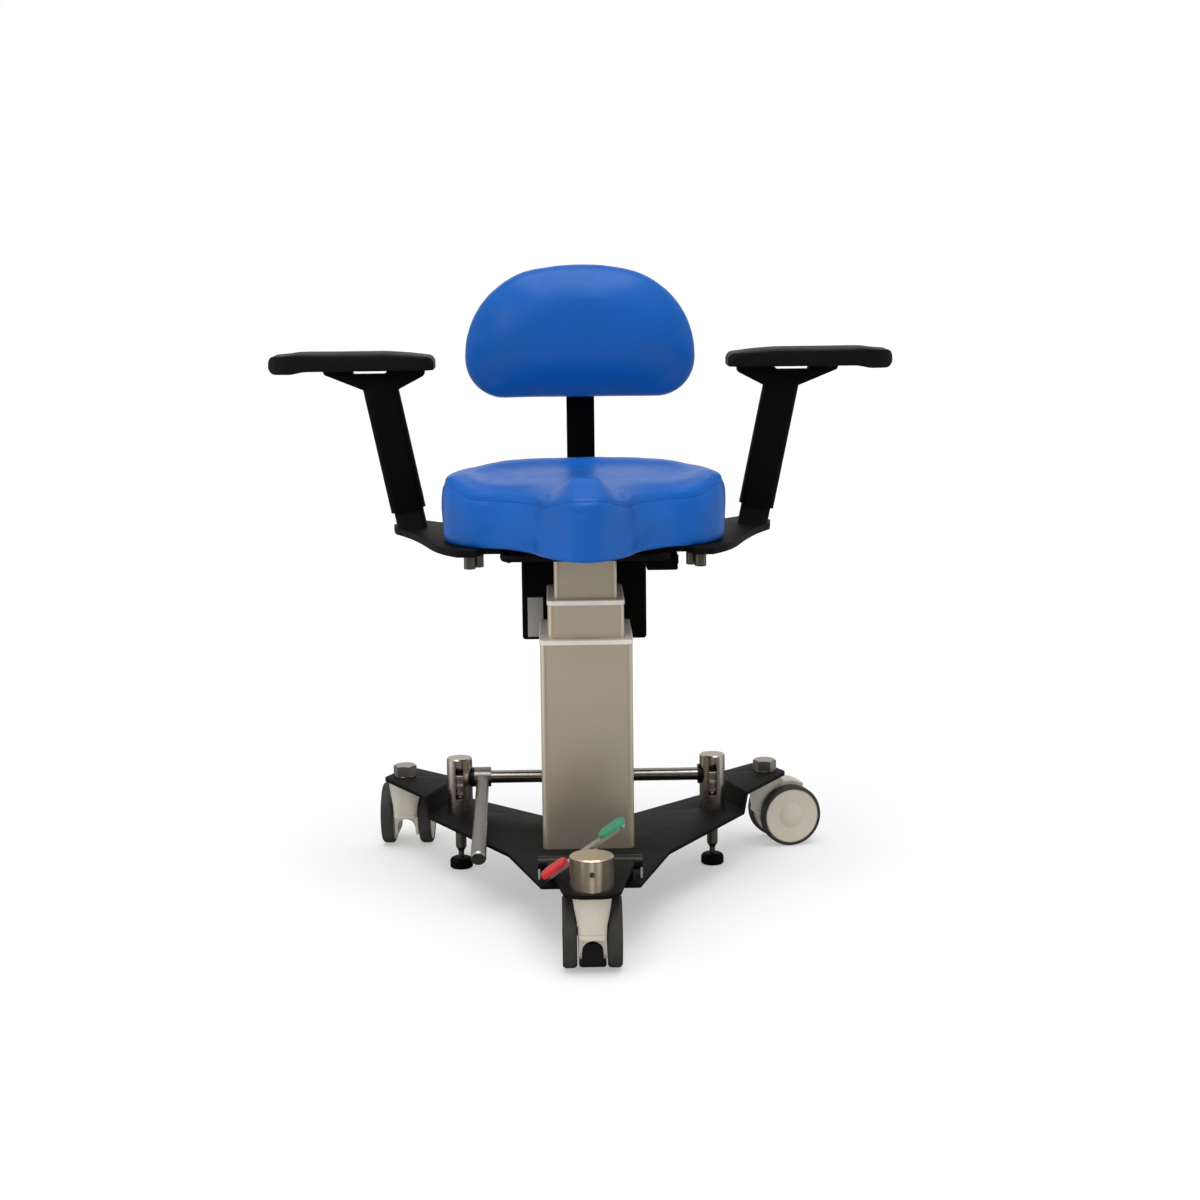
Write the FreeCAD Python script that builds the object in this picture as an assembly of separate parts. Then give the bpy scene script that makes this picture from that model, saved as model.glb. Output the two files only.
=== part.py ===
"""Dental operator chair: electric lift column on a three-castor base with floor brakes.

Millimetres, +Z up, floor at z = 0. The sitter faces -Y. Every piece is drawn about the
column's own axis, and write_part moves it so that the footprint is centred on the origin.
"""
import FreeCAD
import Part
import math
import os

V = FreeCAD.Vector

# Footprint
COLUMN_Y = 36.5            # the column stands this far behind the footprint's centre

# Base plate: one laser-cut sheet, its two rear tabs stepped up over the castors
SHEET = 6.0
PLATE_TOP = 92.0
TAB_TOP = 121.0
STEM_X = 294.0
STEM_Y = 265.0
FRONT_STEM_Y = -390.0
STEP_FROM_STEM = 88.0      # start of the step's slope, measured from the stem
STEP_RUN = 10.0
STEP_SLANT = 20.0          # degrees between the step's bend line and Y
BEND_R = 4.0
COLUMN_SIDE_X = 66.0
PLATE_REAR_Y = 102.0

# Front tongue, its bar and the stem socket
TONGUE_REAR_Y = -250.0
TONGUE_REAR_HALF = 64.0
TONGUE_FRONT_HALF = 36.0
TONGUE_FRONT_Y = -425.0
BAR_R = 10.5
BAR_HALF = 71.0
BAR_Y = -239.0
BAR_Z = 113.0
LUG_T = 3.0
LUG_HALF = 9.0
SOCKET_R = 30.0
SOCKET_TOP = 167.0
SOCKET_BORE_R = 14.0
SCREW_Z = 147.5
SCREW_R = 4.0
BOLT_FLATS = 33.0
BOLT_H = 18.0

# Castors: twin wheels on one axle, trailing behind a swivel stem
WHEEL_R = 50.0
WHEEL_W = 20.0
WHEEL_MID = 31.0           # from the castor's middle plane to a wheel's middle
DISC_R = 45.0
TRAIL = 34.0
AXLE_R = 6.0
SWIVEL_R = 10.0
HOOD_TOP = 114.5
HOOD_LIP = 53.0            # lower edge of the hood's front
FENDER_R = 55.0            # round back of the hood, above the axle
FENDER_REAR = 62.0
CHEEK_HALF = 19.5          # half width of the hood between the wheels
CHEEK_R = 42.0
CHEEK_FOOT = 19.0
ARCH_HALF = 14.5
ARCH_SPRING = 34.0
STEM_FOOT = 76.0
LOCK_LOW = 14.0
LOCK_HIGH = 43.5
RUNNING = 0.05             # radial clearance of a running fit
CASTORS = {                # stem position and the way the castor trails, degrees from +Y
    "front": (0.0, FRONT_STEM_Y, 0.0),
    "left": (-STEM_X, STEM_Y, -3.0),
    "right": (STEM_X, STEM_Y, -76.0),
}

# Floor brake: two posts, one cross shaft with a cam in each post, one lever
POST_X = 199.5
POST_Y = 142.0
POST_R = 20.0
POST_TOP = 178.5
POST_BORE_R = 15.0
GUIDE_TOP = 104.0
WINDOW_LOW = 114.0
WINDOW_HIGH = 165.5
WINDOW_W = 12.0
SHAFT_Z = 146.5
SHAFT_R = 10.0
STUB_R = 5.0
CAM_W = 10.0
CAM_HIGH = 12.0            # shaft axis to follower with the brake on
CAM_LOW = 6.0              # and with the lever lifted
CAM_GAP = 0.05             # clearance under the cam
LEVER_LIFT = 60.0          # degrees of lever travel
LEVER_DROP = 13.0          # degrees below level with the brake on
LEVER_X = -163.0
LEVER_LENGTH = 267.0
HUB_R = 15.5
HUB_W = 26.0
ROD_R = 8.5
ROD_NECK_R = 4.5
NUT_LOW = 121.0
FOLLOWER_H = 8.0
PAD_R = 18.0
PAD_H = 17.0
PAD_SOCKET = 9.0           # bottom of the hole that takes the rod's neck

# Castor lock pedal behind the socket
PEDAL_Z = 146.0
PEDAL_Y = -338.0
PEDAL_HUB_HALF = 18.0
PEDAL_HUB_R = 13.0
PEDAL_SHAFT_R = 7.0
PEDAL_TILT = 35.0          # red end down
PEDAL_OFFSET = 12.0        # pivot to the bar's underside
PEDAL_BAR_T = 5.0
PEDAL_BAR_W = 20.0
PEDAL_HALF = 66.0
PEDAL_PAD_MID = 48.5
PEDAL_PAD_LENGTH = 42.0
PEDAL_PAD_W = 32.0
PEDAL_PAD_T = 7.0

# Lift column: three nested profiles
OUTER = (136.0, 182.0, 10.0)
MIDDLE = (112.0, 156.0, 9.0)
INNER = (92.0, 134.0, 8.0)
WALL = 4.5
OUTER_TOP = 399.5
MIDDLE_TOP = 456.0
MIDDLE_FOOT = 165.0
INNER_FOOT = 235.0
RIM_H = 7.0
RIM_LIP = 12.0
SLIDE_GAP = 0.4
GEARBOX_H = 24.0
RAM_R = 12.0
RAM_Y = -30.0
RAM_FOOT = 215.0

# Under the seat
FRAME_LOW = 523.0
FRAME_TOP = 533.0
FLANGE_LOW = 511.0
FLANGE_T = 5.0
SEAT_LOW = 541.0
BOARD_T = 12.0
BOARD_MARGIN = 26.0        # the cushion's skirt covers the board's edge
WING_LOW = 530.5
WING_IN = 124.0            # inner edge, against the tray
WING_BOLT_R = 8.5
WING_BOLT_FOOT = 511.5
WING_BOLTS = ((168.5, -75.0), (157.0, -56.0))

# Seat cushion outline and heights
SEAT_HALF = 214.0
SEAT_MID_Y = -10.0
SEAT_REACH = 235.0
DISH_LOW = 627.0
DISH_Y = 10.0
DISH_REACH = 212.0
RIM_RISE = 18.0
POMMEL_RISE = 25.0
POMMEL_Y = -175.0
POMMEL_HALF = 37.0
POMMEL_REACH = 48.0
SEAM_FRONT = 608.0
SEAM_SIDE = 628.0
SEAM_NOSE = 626.0
SEAT_DEGREE = 2            # of the curves between the seat's sections

# Armrests
ARM_LEAN = 11.5
ARM_FOOT_X = 266.0
ARM_Y = 174.0
POST_W = 46.0
POST_T = 22.0
ARM_POST_LENGTH = 150.0
SLEEVE_W = 54.0
SLEEVE_T = 31.0
SLEEVE_FROM = 29.0
SLEEVE_TO = 238.0
HEAD_LOW = 757.0
HEAD_HALF_Y = 15.0
HEAD_SLOT = 781.0          # floor of the slot under the pad
BUTTON_LOW = 118.0
BUTTON_HIGH = 142.0
BUTTON_W = 12.0
BUTTON_GAP = 0.3
PAD_LOW = 787.0
PAD_TOP = 813.5
PAD_BULGE = 783.0          # underside of the pad's thicker outer end
ARM_PAD_IN = 225.0
ARM_PAD_OUT = 487.0
ARM_PAD_HALF = 44.0

# Backrest
BACK_FRONT = 232.0
BACK_REAR = 284.0
BACK_CROWN = 26.0          # depth of the crowned front
BACK_CROWN_IN = 80.0       # and how far in from the edge it reaches
BACK_BOARD_T = 10.0
BACK_HALF = 183.0
BACK_LOW = 734.0
BACK_MID = 840.0
BACK_TOP = 946.0
BACK_DEGREE = 3            # of the curves between the backrest's sections
BAR_W = 45.0
BAR_T = 8.0
BACK_BAR_Y = 316.0
BACK_BAR_TOP = 905.0
HINGE_Y = 303.0
HINGE_Z = 835.0
HINGE_R = 8.0
HINGE_PIN_R = 4.0

# Battery and control boxes
BOX_HALF = 96.0
BOX_FRONT = 100.0
BOX_REAR = 168.0
BOX_LOW = 373.0
CONTROL_IN = 91.0
CONTROL_OUT = 137.0
CONTROL_LOW = 501.0
ROCKER_Y = 5.0
ROCKER_Z = 512.0
ROCKER_HALF = 15.0
ROCKER_H = 13.0
ROCKER_DEPTH = 6.0
ROCKER_PIN_R = 2.0
ROCKER_PIN_HALF = 8.5


def box(x0, x1, y0, y1, z0, z1):
    """A block between two corners."""
    return Part.makeBox(x1 - x0, y1 - y0, z1 - z0, V(x0, y0, z0))


def cylinder(radius, start, end):
    """A round bar from one point to another."""
    along = V(*end) - V(*start)
    return Part.makeCylinder(radius, along.Length, V(*start), along)


def ring(outer, inner, start, end):
    """A round tube from one point to another."""
    return cylinder(outer, start, end).cut(cylinder(inner, start, end))


def mirrored(shape):
    """The same piece on the other side of the chair."""
    return shape.mirror(V(0, 0, 0), V(1, 0, 0))


def turned(shape, point, axis, degrees):
    """A copy of the shape turned about an axis through a point."""
    copy = shape.copy()
    copy.rotate(V(*point), V(*axis), degrees)
    return copy


def corner_arc(before, corner, after, radius):
    """Start, middle and end of the arc that rounds one corner of a polygon."""
    to_before = (before - corner).normalize()
    to_after = (after - corner).normalize()
    half = to_before.getAngle(to_after) / 2
    setback = radius / math.tan(half)
    bisector = (to_before + to_after).normalize()
    centre = corner + bisector * (radius / math.sin(half))
    return corner + to_before * setback, centre - bisector * radius, corner + to_after * setback


def rounded_wire(corners):
    """Closed wire through (point, radius) corners, each rounded by its radius."""
    edges = []
    ends = []
    count = len(corners)
    for index, (point, radius) in enumerate(corners):
        before = corners[index - 1][0]
        after = corners[(index + 1) % count][0]
        if radius > 0:
            start, middle, end = corner_arc(before, point, after, radius)
            edges.append(Part.Arc(start, middle, end).toShape())
            ends.append((start, end))
        else:
            ends.append((point, point))
    for index in range(count):
        start = ends[index][1]
        end = ends[(index + 1) % count][0]
        if (end - start).Length > 1e-6:
            edges.append(Part.LineSegment(start, end).toShape())
    return Part.Wire(Part.__sortEdges__(edges))


def plan(corners, z):
    """Rounded outline in a level plane, from (x, y, radius) corners."""
    return rounded_wire([(V(x, y, z), radius) for x, y, radius in corners])


def prism(corners, z0, z1):
    """Upright prism on a rounded outline."""
    return Part.Face(plan(corners, z0)).extrude(V(0, 0, z1 - z0))


def side_prism(corners, y0, y1):
    """Prism along Y on a rounded outline of (x, z, radius) corners."""
    wire = rounded_wire([(V(x, y0, z), radius) for x, z, radius in corners])
    return Part.Face(wire).extrude(V(0, y1 - y0, 0))


def rectangle(width, depth, radius):
    """Corners of a rounded rectangle about the origin."""
    x = width / 2
    y = depth / 2
    return [(-x, -y, radius), (x, -y, radius), (x, y, radius), (-x, y, radius)]


def spun(points, base, axis, turn_from=V(0, 0, 1)):
    """Solid of revolution from (distance along the axis, radius) points."""
    wire = Part.makePolygon([V(radius, 0, along) for along, radius in points + points[:1]])
    solid = Part.Face(wire).revolve(V(0, 0, 0), V(0, 0, 1), 360)
    solid.Placement = FreeCAD.Placement(V(*base), FreeCAD.Rotation(turn_from, V(*axis)))
    return solid


def hexagon(across_flats, x, y, z0, z1):
    """Hexagonal bar with its top corners turned off."""
    corner = across_flats / math.sqrt(3)
    points = [V(x + corner * math.cos(math.radians(60 * k)), y + corner * math.sin(math.radians(60 * k)), z0)
              for k in range(7)]
    bar = Part.Face(Part.makePolygon(points)).extrude(V(0, 0, z1 - z0))
    turned_off = Part.makeCone(corner + 2 * (z1 - z0), across_flats / 2, z1 - z0, V(x, y, z0))
    return bar.common(turned_off)


def edges_near(shape, test):
    """Edges whose middle point passes a test."""
    return [edge for edge in shape.Edges if test(edge.CenterOfMass)]


def write_part(name, *solids):
    """Write one sub-part, moved from the column's axis to the footprint's centre."""
    shape = solids[0] if len(solids) == 1 else Part.makeCompound(list(solids))
    moved = shape.copy()
    moved.translate(V(0, COLUMN_Y, 0))
    moved.exportStep("parts/%s.step" % name)
    state = "ok" if moved.isValid() else "INVALID"
    print("%-22s %s solids %d volume %.0f" % (name, state, len(moved.Solids), moved.Volume))


# Base

def base_outline():
    """Plan of the sheet: two swept rear arms and a beak at the front."""
    left = [(-COLUMN_SIDE_X, PLATE_REAR_Y, 15), (-292, 328, 16), (-328, 252, 16), (-119, -110, 40), (-70, -277, 4)]
    right = [(-x, y, radius) for x, y, radius in reversed(left)]
    return left + right


def stepped_arm():
    """The left arm's sheet, stepped from the plate up to the castor's tab."""
    slant = math.radians(STEP_SLANT)
    along = V(math.sin(slant), math.cos(slant), 0)
    inward = V(math.cos(slant), -math.sin(slant), 0)
    start = V(-STEM_X, STEM_Y, 0) - along * 200
    drop = TAB_TOP - PLATE_TOP
    slope = math.hypot(STEP_RUN, drop)
    shift = SHEET * (slope - STEP_RUN) / drop
    low = STEP_FROM_STEM + STEP_RUN
    profile = [(-90, TAB_TOP), (STEP_FROM_STEM, TAB_TOP), (low, PLATE_TOP), (low + 20, PLATE_TOP),
               (low + 20, PLATE_TOP - SHEET), (low - shift, PLATE_TOP - SHEET),
               (STEP_FROM_STEM - shift, TAB_TOP - SHEET), (-90, TAB_TOP - SHEET)]
    points = [start + inward * reach + V(0, 0, z) for reach, z in profile + profile[:1]]
    sheet = Part.Face(Part.makePolygon(points)).extrude(along * 400)
    bends = [start + along * 200 + inward * profile[k][0] + V(0, 0, profile[k][1]) for k in (1, 2, 5, 6)]
    sheet = sheet.makeFillet(BEND_R, edges_near(sheet, lambda p: min((p - b).Length for b in bends) < 1))
    inner_side = [start + inward * (low + 20), start + inward * (low + 20) + along * 400,
                  start - inward * 90 + along * 400, start - inward * 90]
    cut_out = Part.Face(Part.makePolygon(inner_side + inner_side[:1])).extrude(V(0, 0, 200))
    return sheet, cut_out


def base_plate():
    """Flat middle of the sheet with both stepped arms, and its holes."""
    outline = base_outline()
    sheet, arm_region = stepped_arm()
    flat = prism(outline, PLATE_TOP - SHEET, PLATE_TOP)
    flat = flat.cut(arm_region).cut(mirrored(arm_region))
    envelope = prism(outline, PLATE_TOP - 2 * SHEET, TAB_TOP + SHEET)
    plate = flat.fuse([sheet.common(envelope), mirrored(sheet).common(envelope)]).removeSplitter()
    for side in (-1, 1):
        plate = plate.cut(cylinder(SWIVEL_R, (side * STEM_X, STEM_Y, 100), (side * STEM_X, STEM_Y, 130)))
        plate = plate.cut(cylinder(ROD_R + 0.7, (side * POST_X, POST_Y, 80), (side * POST_X, POST_Y, 100)))
    return plate


def front_tongue():
    """Bent plate that carries the front stem socket ahead of the base plate."""
    corners = [(-TONGUE_REAR_HALF, TONGUE_REAR_Y, 0), (TONGUE_REAR_HALF, TONGUE_REAR_Y, 0),
               (TONGUE_FRONT_HALF, TONGUE_FRONT_Y, 30), (-TONGUE_FRONT_HALF, TONGUE_FRONT_Y, 30)]
    top = prism(corners, TAB_TOP - SHEET, TAB_TOP)
    web = box(-60, 60, TONGUE_REAR_Y - SHEET, TONGUE_REAR_Y, PLATE_TOP, TAB_TOP - 1)
    tongue = top.fuse(web).removeSplitter()
    bend = edges_near(tongue, lambda p: abs(p.y - TONGUE_REAR_Y) < 0.1 and abs(p.z - TAB_TOP) < 0.1)
    tongue = tongue.makeFillet(BEND_R, bend)
    return tongue.cut(cylinder(SOCKET_BORE_R + RUNNING, (0, FRONT_STEM_Y, PLATE_TOP), (0, FRONT_STEM_Y, SOCKET_TOP)))


def tube_lug(side):
    """Lug that cradles one end of the front bar."""
    x0 = side * BAR_HALF
    x1 = side * (BAR_HALF + LUG_T)
    lug = box(min(x0, x1), max(x0, x1), BAR_Y - LUG_HALF, BAR_Y + LUG_HALF, PLATE_TOP, BAR_Z)
    return lug.cut(front_bar())


def front_bar():
    """Round bar across the front of the base."""
    end = BAR_HALF + LUG_T
    return cylinder(BAR_R, (-end, BAR_Y, BAR_Z), (end, BAR_Y, BAR_Z))


def stem_socket():
    """Turned steel socket over the front castor's stem, with a screw recess in front."""
    socket = cylinder(SOCKET_R, (0, FRONT_STEM_Y, TAB_TOP), (0, FRONT_STEM_Y, SOCKET_TOP))
    rim = edges_near(socket, lambda p: abs(p.z - SOCKET_TOP) < 0.1)
    socket = socket.makeChamfer(1.5, rim)
    socket = socket.cut(cylinder(SOCKET_BORE_R, (0, FRONT_STEM_Y, PLATE_TOP), (0, FRONT_STEM_Y, SOCKET_TOP - 9)))
    front = FRONT_STEM_Y - SOCKET_R
    socket = socket.cut(cylinder(SCREW_R, (0, front - 1, SCREW_Z), (0, front + 4, SCREW_Z)))
    rear = FRONT_STEM_Y + SOCKET_R + 1
    return socket.cut(cylinder(PEDAL_SHAFT_R + RUNNING, (0, FRONT_STEM_Y, PEDAL_Z), (0, rear, PEDAL_Z)))


def castor_stem(x, y, upper_r, top):
    """Swivel pin, thicker where it stands in its socket."""
    pin = cylinder(SWIVEL_R, (x, y, STEM_FOOT), (x, y, TAB_TOP))
    if upper_r > SWIVEL_R:
        pin = pin.fuse(cylinder(upper_r, (x, y, TAB_TOP - SHEET), (x, y, top)))
    return pin.removeSplitter()


# Castors

def placed_castor(shape, name):
    """Move a castor piece drawn about its stem, trailing +Y, to its place on the base."""
    x, y, trail_angle = CASTORS[name]
    copy = turned(shape, (0, 0, 0), (0, 0, 1), trail_angle)
    copy.translate(V(x, y, 0))
    return copy


def across_axle(radius, half):
    """Round bar along a castor's axle line, to both sides of its middle plane."""
    return cylinder(radius, (-half, TRAIL, WHEEL_R), (half, TRAIL, WHEEL_R))


def hood_arch(half):
    """Round-topped passage under the hood, from front to rear."""
    front = -2 * WHEEL_R
    rear = TRAIL + 2 * WHEEL_R
    return box(-half, half, front, rear, 0, ARCH_SPRING).fuse(
        cylinder(half, (0, front, ARCH_SPRING), (0, rear, ARCH_SPRING)))


def castor_hood():
    """Hood of a castor: round shoulder at the stem, waist, lip, and two cheeks beside the wheels."""
    shoulder = plan(rectangle(54, 54, 26.5), HOOD_TOP)
    below = plan(rectangle(51, 52, 24), 98)
    waist = plan(rectangle(41, 43, 13), 70)
    lip = plan(rectangle(2 * CHEEK_HALF, 41, 10), HOOD_LIP)
    hood = Part.makeLoft([shoulder, below, waist, lip], True)
    cheeks = across_axle(CHEEK_R, CHEEK_HALF).cut(box(-50, 50, -50, 100, 0, CHEEK_FOOT))
    fender = [(-CHEEK_HALF, 0, 0), (CHEEK_HALF, 0, 0), (CHEEK_HALF, FENDER_REAR, 6), (-CHEEK_HALF, FENDER_REAR, 6)]
    back = prism(fender, HOOD_LIP, HOOD_TOP)
    back = back.common(across_axle(FENDER_R, CHEEK_HALF))
    hood = hood.fuse([cheeks, back])
    for side in (-1, 1):
        start = (side * (CHEEK_HALF + 0.2), TRAIL, WHEEL_R)
        hood = hood.cut(cylinder(WHEEL_R + 1.5, start, (side * WHEEL_R, TRAIL, WHEEL_R)))
    hood = hood.cut(hood_arch(ARCH_HALF)).cut(across_axle(AXLE_R + RUNNING, WHEEL_R))
    return hood.cut(cylinder(SWIVEL_R + RUNNING, (0, 0, STEM_FOOT - 1), (0, 0, HOOD_TOP + 1))).removeSplitter()


def castor_lock():
    """Lock block that fills the front castor's arch around its axle."""
    block = box(-ARCH_HALF, ARCH_HALF, -4, TRAIL + 38, LOCK_LOW, LOCK_HIGH).common(hood_arch(ARCH_HALF))
    return block.makeFillet(4, edges_near(block, lambda p: abs(p.z - LOCK_LOW) < 0.1 and abs(p.x) < 1))


def wheel_disc(side):
    """Moulded wheel centre: dished outer face with a domed hub."""
    inner = WHEEL_MID - WHEEL_W / 2
    face = inner + WHEEL_W
    profile = [(inner, AXLE_R), (inner, DISC_R), (face - 2.5, DISC_R), (face - 1, DISC_R - 2), (face - 4.8, 20),
               (face - 3.4, 17.5), (face - 1.6, 13.5), (face - 0.1, 8.5), (face + 0.5, 4), (face + 0.5, 0),
               (face - 8, 0), (face - 8, AXLE_R)]
    return spun(profile, (0, TRAIL, WHEEL_R), (side, 0, 0))


def wheel_tread(side):
    """Rubber ring with rolled shoulders."""
    inner = WHEEL_MID - WHEEL_W / 2
    profile = [(inner, DISC_R), (inner, 46.5), (inner + 2, 49), (inner + 5, WHEEL_R), (inner + WHEEL_W - 5, WHEEL_R),
               (inner + WHEEL_W - 2, 49), (inner + WHEEL_W, 46.5), (inner + WHEEL_W, DISC_R)]
    return spun(profile, (0, TRAIL, WHEEL_R), (side, 0, 0))


def castor_axle():
    """Plain axle that joins a castor's two wheels."""
    return across_axle(AXLE_R, WHEEL_MID + WHEEL_W / 2 - 8)


# Floor brake

def brake_post():
    """Left post: bored for the follower, with a window that shows the cam."""
    post = cylinder(POST_R, (-POST_X, POST_Y, PLATE_TOP), (-POST_X, POST_Y, POST_TOP))
    post = post.makeChamfer(1.5, edges_near(post, lambda p: abs(p.z - POST_TOP) < 0.1))
    post = post.cut(cylinder(POST_BORE_R, (-POST_X, POST_Y, GUIDE_TOP), (-POST_X, POST_Y, POST_TOP - 8)))
    post = post.cut(cylinder(ROD_R + RUNNING, (-POST_X, POST_Y, 80), (-POST_X, POST_Y, GUIDE_TOP + 1)))
    half = WINDOW_W / 2
    corners = [(-POST_X - half, WINDOW_LOW, 2), (-POST_X + half, WINDOW_LOW, 2),
               (-POST_X + half, WINDOW_HIGH, 2), (-POST_X - half, WINDOW_HIGH, 2)]
    post = post.cut(side_prism(corners, POST_Y - POST_R - 5, POST_Y))
    post = post.cut(cylinder(SHAFT_R + 2.5, (-POST_X, POST_Y, SHAFT_Z), (-POST_X + 30, POST_Y, SHAFT_Z)))
    return post.cut(cylinder(STUB_R + RUNNING, (-POST_X - 30, POST_Y, SHAFT_Z), (-POST_X, POST_Y, SHAFT_Z)))


def post_bush():
    """Flanged bush in the left post's inner wall."""
    flange_x = -POST_X + POST_R + 0.1
    bore = SHAFT_R + RUNNING
    sleeve = ring(SHAFT_R + 2.5, bore, (flange_x - 6, POST_Y, SHAFT_Z), (flange_x, POST_Y, SHAFT_Z))
    flange = ring(SHAFT_R + 5.5, bore, (flange_x, POST_Y, SHAFT_Z), (flange_x + 3, POST_Y, SHAFT_Z))
    return sleeve.fuse(flange).removeSplitter()


def brake_shaft():
    """Cross shaft behind the column, stepped down where it carries the cams."""
    shoulder = POST_X - POST_BORE_R + 0.5
    shaft = cylinder(SHAFT_R, (-shoulder, POST_Y, SHAFT_Z), (shoulder, POST_Y, SHAFT_Z))
    tip = POST_X + POST_R - 0.5
    return shaft.fuse(cylinder(STUB_R, (-tip, POST_Y, SHAFT_Z), (tip, POST_Y, SHAFT_Z))).removeSplitter()


def brake_cam(x):
    """Cam whose working face is an involute, so the foot moves evenly with the lever."""
    rate = (CAM_HIGH - CAM_LOW) / math.radians(LEVER_LIFT)

    def face(degrees):
        turn = math.radians(degrees)
        height = CAM_HIGH - rate * turn
        y = height * math.sin(turn) - rate * math.cos(turn)
        z = -height * math.cos(turn) - rate * math.sin(turn)
        return V(x - CAM_W / 2, POST_Y + y, SHAFT_Z + z)

    def circle(degrees):
        turn = math.radians(degrees)
        return V(x - CAM_W / 2, POST_Y + CAM_LOW * math.sin(turn), SHAFT_Z - CAM_LOW * math.cos(turn))

    tip = face(0)
    reach = math.hypot(tip.y - POST_Y, tip.z - SHAFT_Z)
    back = -math.degrees(math.acos(CAM_LOW / reach)) - math.degrees(math.atan2(rate, CAM_HIGH))
    first = face(LEVER_LIFT / 2)
    last = face(LEVER_LIFT)
    edges = [Part.Arc(tip, face(LEVER_LIFT / 4), first).toShape(),
             Part.Arc(first, face(LEVER_LIFT * 3 / 4), last).toShape(),
             Part.LineSegment(last, circle(LEVER_LIFT)).toShape(),
             Part.Arc(circle(LEVER_LIFT), circle((LEVER_LIFT + 180) / 2), circle(180)).toShape(),
             Part.Arc(circle(180), circle((540 + back) / 2), circle(360 + back)).toShape(),
             Part.LineSegment(circle(360 + back), tip).toShape()]
    cam = Part.Face(Part.Wire(edges)).extrude(V(CAM_W, 0, 0))
    return cam.cut(cylinder(STUB_R, (x - CAM_W, POST_Y, SHAFT_Z), (x + CAM_W, POST_Y, SHAFT_Z)))


def brake_lever():
    """Cross-bored hub with a round lever that points forward and down."""
    half = HUB_W / 2
    hub = cylinder(HUB_R, (LEVER_X - half, POST_Y, SHAFT_Z), (LEVER_X + half, POST_Y, SHAFT_Z))
    profile = [(0, 0), (0, 10), (150, 10.2), (152, 11), (LEVER_LENGTH - 3, 11.6), (LEVER_LENGTH, 9.6),
               (LEVER_LENGTH, 0)]
    drop = math.radians(LEVER_DROP)
    lever = spun(profile, (LEVER_X, POST_Y, SHAFT_Z), (0, -math.cos(drop), -math.sin(drop)))
    lever = hub.fuse(lever)
    return lever.cut(cylinder(SHAFT_R, (LEVER_X - 40, POST_Y, SHAFT_Z), (LEVER_X + 40, POST_Y, SHAFT_Z)))


def brake_rod():
    """Left foot rod with its follower head and lock nut."""
    top = SHAFT_Z - CAM_HIGH - CAM_GAP
    head_low = top - FOLLOWER_H
    head_r = POST_BORE_R - 1
    profile = [(PAD_SOCKET, 0), (PAD_SOCKET, ROD_NECK_R), (27, ROD_NECK_R), (34, ROD_R), (NUT_LOW - 3, ROD_R),
               (NUT_LOW - 3, 12), (NUT_LOW, 12), (NUT_LOW, 5), (head_low, 5), (head_low, head_r), (top, head_r),
               (top, 0)]
    rod = spun(profile, (-POST_X, POST_Y, 0), (0, 0, 1))
    return rod.fuse(hexagon(17, -POST_X, POST_Y, NUT_LOW, head_low)).removeSplitter()


def brake_pad():
    """Left rubber foot."""
    profile = [(0, 0), (0, PAD_R - 2), (2, PAD_R), (PAD_H - 5, PAD_R), (PAD_H - 1.5, PAD_R - 2), (PAD_H, PAD_R - 5),
               (PAD_H, ROD_NECK_R), (PAD_SOCKET, ROD_NECK_R), (PAD_SOCKET, 0)]
    return spun(profile, (-POST_X, POST_Y, 0), (0, 0, 1))


# Castor lock pedal

def tilted(shape):
    """Turn a pedal piece from level to its rest tilt."""
    return turned(shape, (0, 0, PEDAL_Z), (0, 1, 0), -PEDAL_TILT)


def pedal_bar():
    """Flat rocker bar on a hub and a shaft that enters the socket."""
    under = PEDAL_Z + PEDAL_OFFSET
    bar = prism(rectangle(2 * PEDAL_HALF, PEDAL_BAR_W, 8), under, under + PEDAL_BAR_T)
    bar.translate(V(0, PEDAL_Y, 0))
    rear = PEDAL_Y + PEDAL_HUB_HALF
    hub = cylinder(PEDAL_HUB_R, (0, PEDAL_Y - PEDAL_HUB_HALF, PEDAL_Z), (0, rear, PEDAL_Z))
    web = box(-9, 9, PEDAL_Y - PEDAL_BAR_W / 2, PEDAL_Y + PEDAL_BAR_W / 2, PEDAL_Z, under + 1)
    shaft = cylinder(PEDAL_SHAFT_R, (0, FRONT_STEM_Y + SOCKET_BORE_R + 1, PEDAL_Z), (0, rear, PEDAL_Z))
    return tilted(bar.fuse([hub, web, shaft]).removeSplitter())


def pedal_pad(side):
    """Moulded oval tread pad on one end of the rocker bar."""
    low = PEDAL_Z + PEDAL_OFFSET + PEDAL_BAR_T
    pad = prism(rectangle(PEDAL_PAD_LENGTH, PEDAL_PAD_W, PEDAL_PAD_W / 2 - 1), low, low + PEDAL_PAD_T)
    pad.translate(V(side * PEDAL_PAD_MID, PEDAL_Y, 0))
    pad = pad.makeFillet(3.5, edges_near(pad, lambda p: abs(p.z - low - PEDAL_PAD_T) < 0.1))
    return tilted(pad)


# Lift column

def profile_tube(size, z0, z1):
    """Rounded rectangular extrusion with the column's wall."""
    width, depth, radius = size
    outside = prism(rectangle(width, depth, radius), z0, z1)
    inside = prism(rectangle(width - 2 * WALL, depth - 2 * WALL, radius - WALL), z0, z1)
    return outside.cut(inside)


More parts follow.
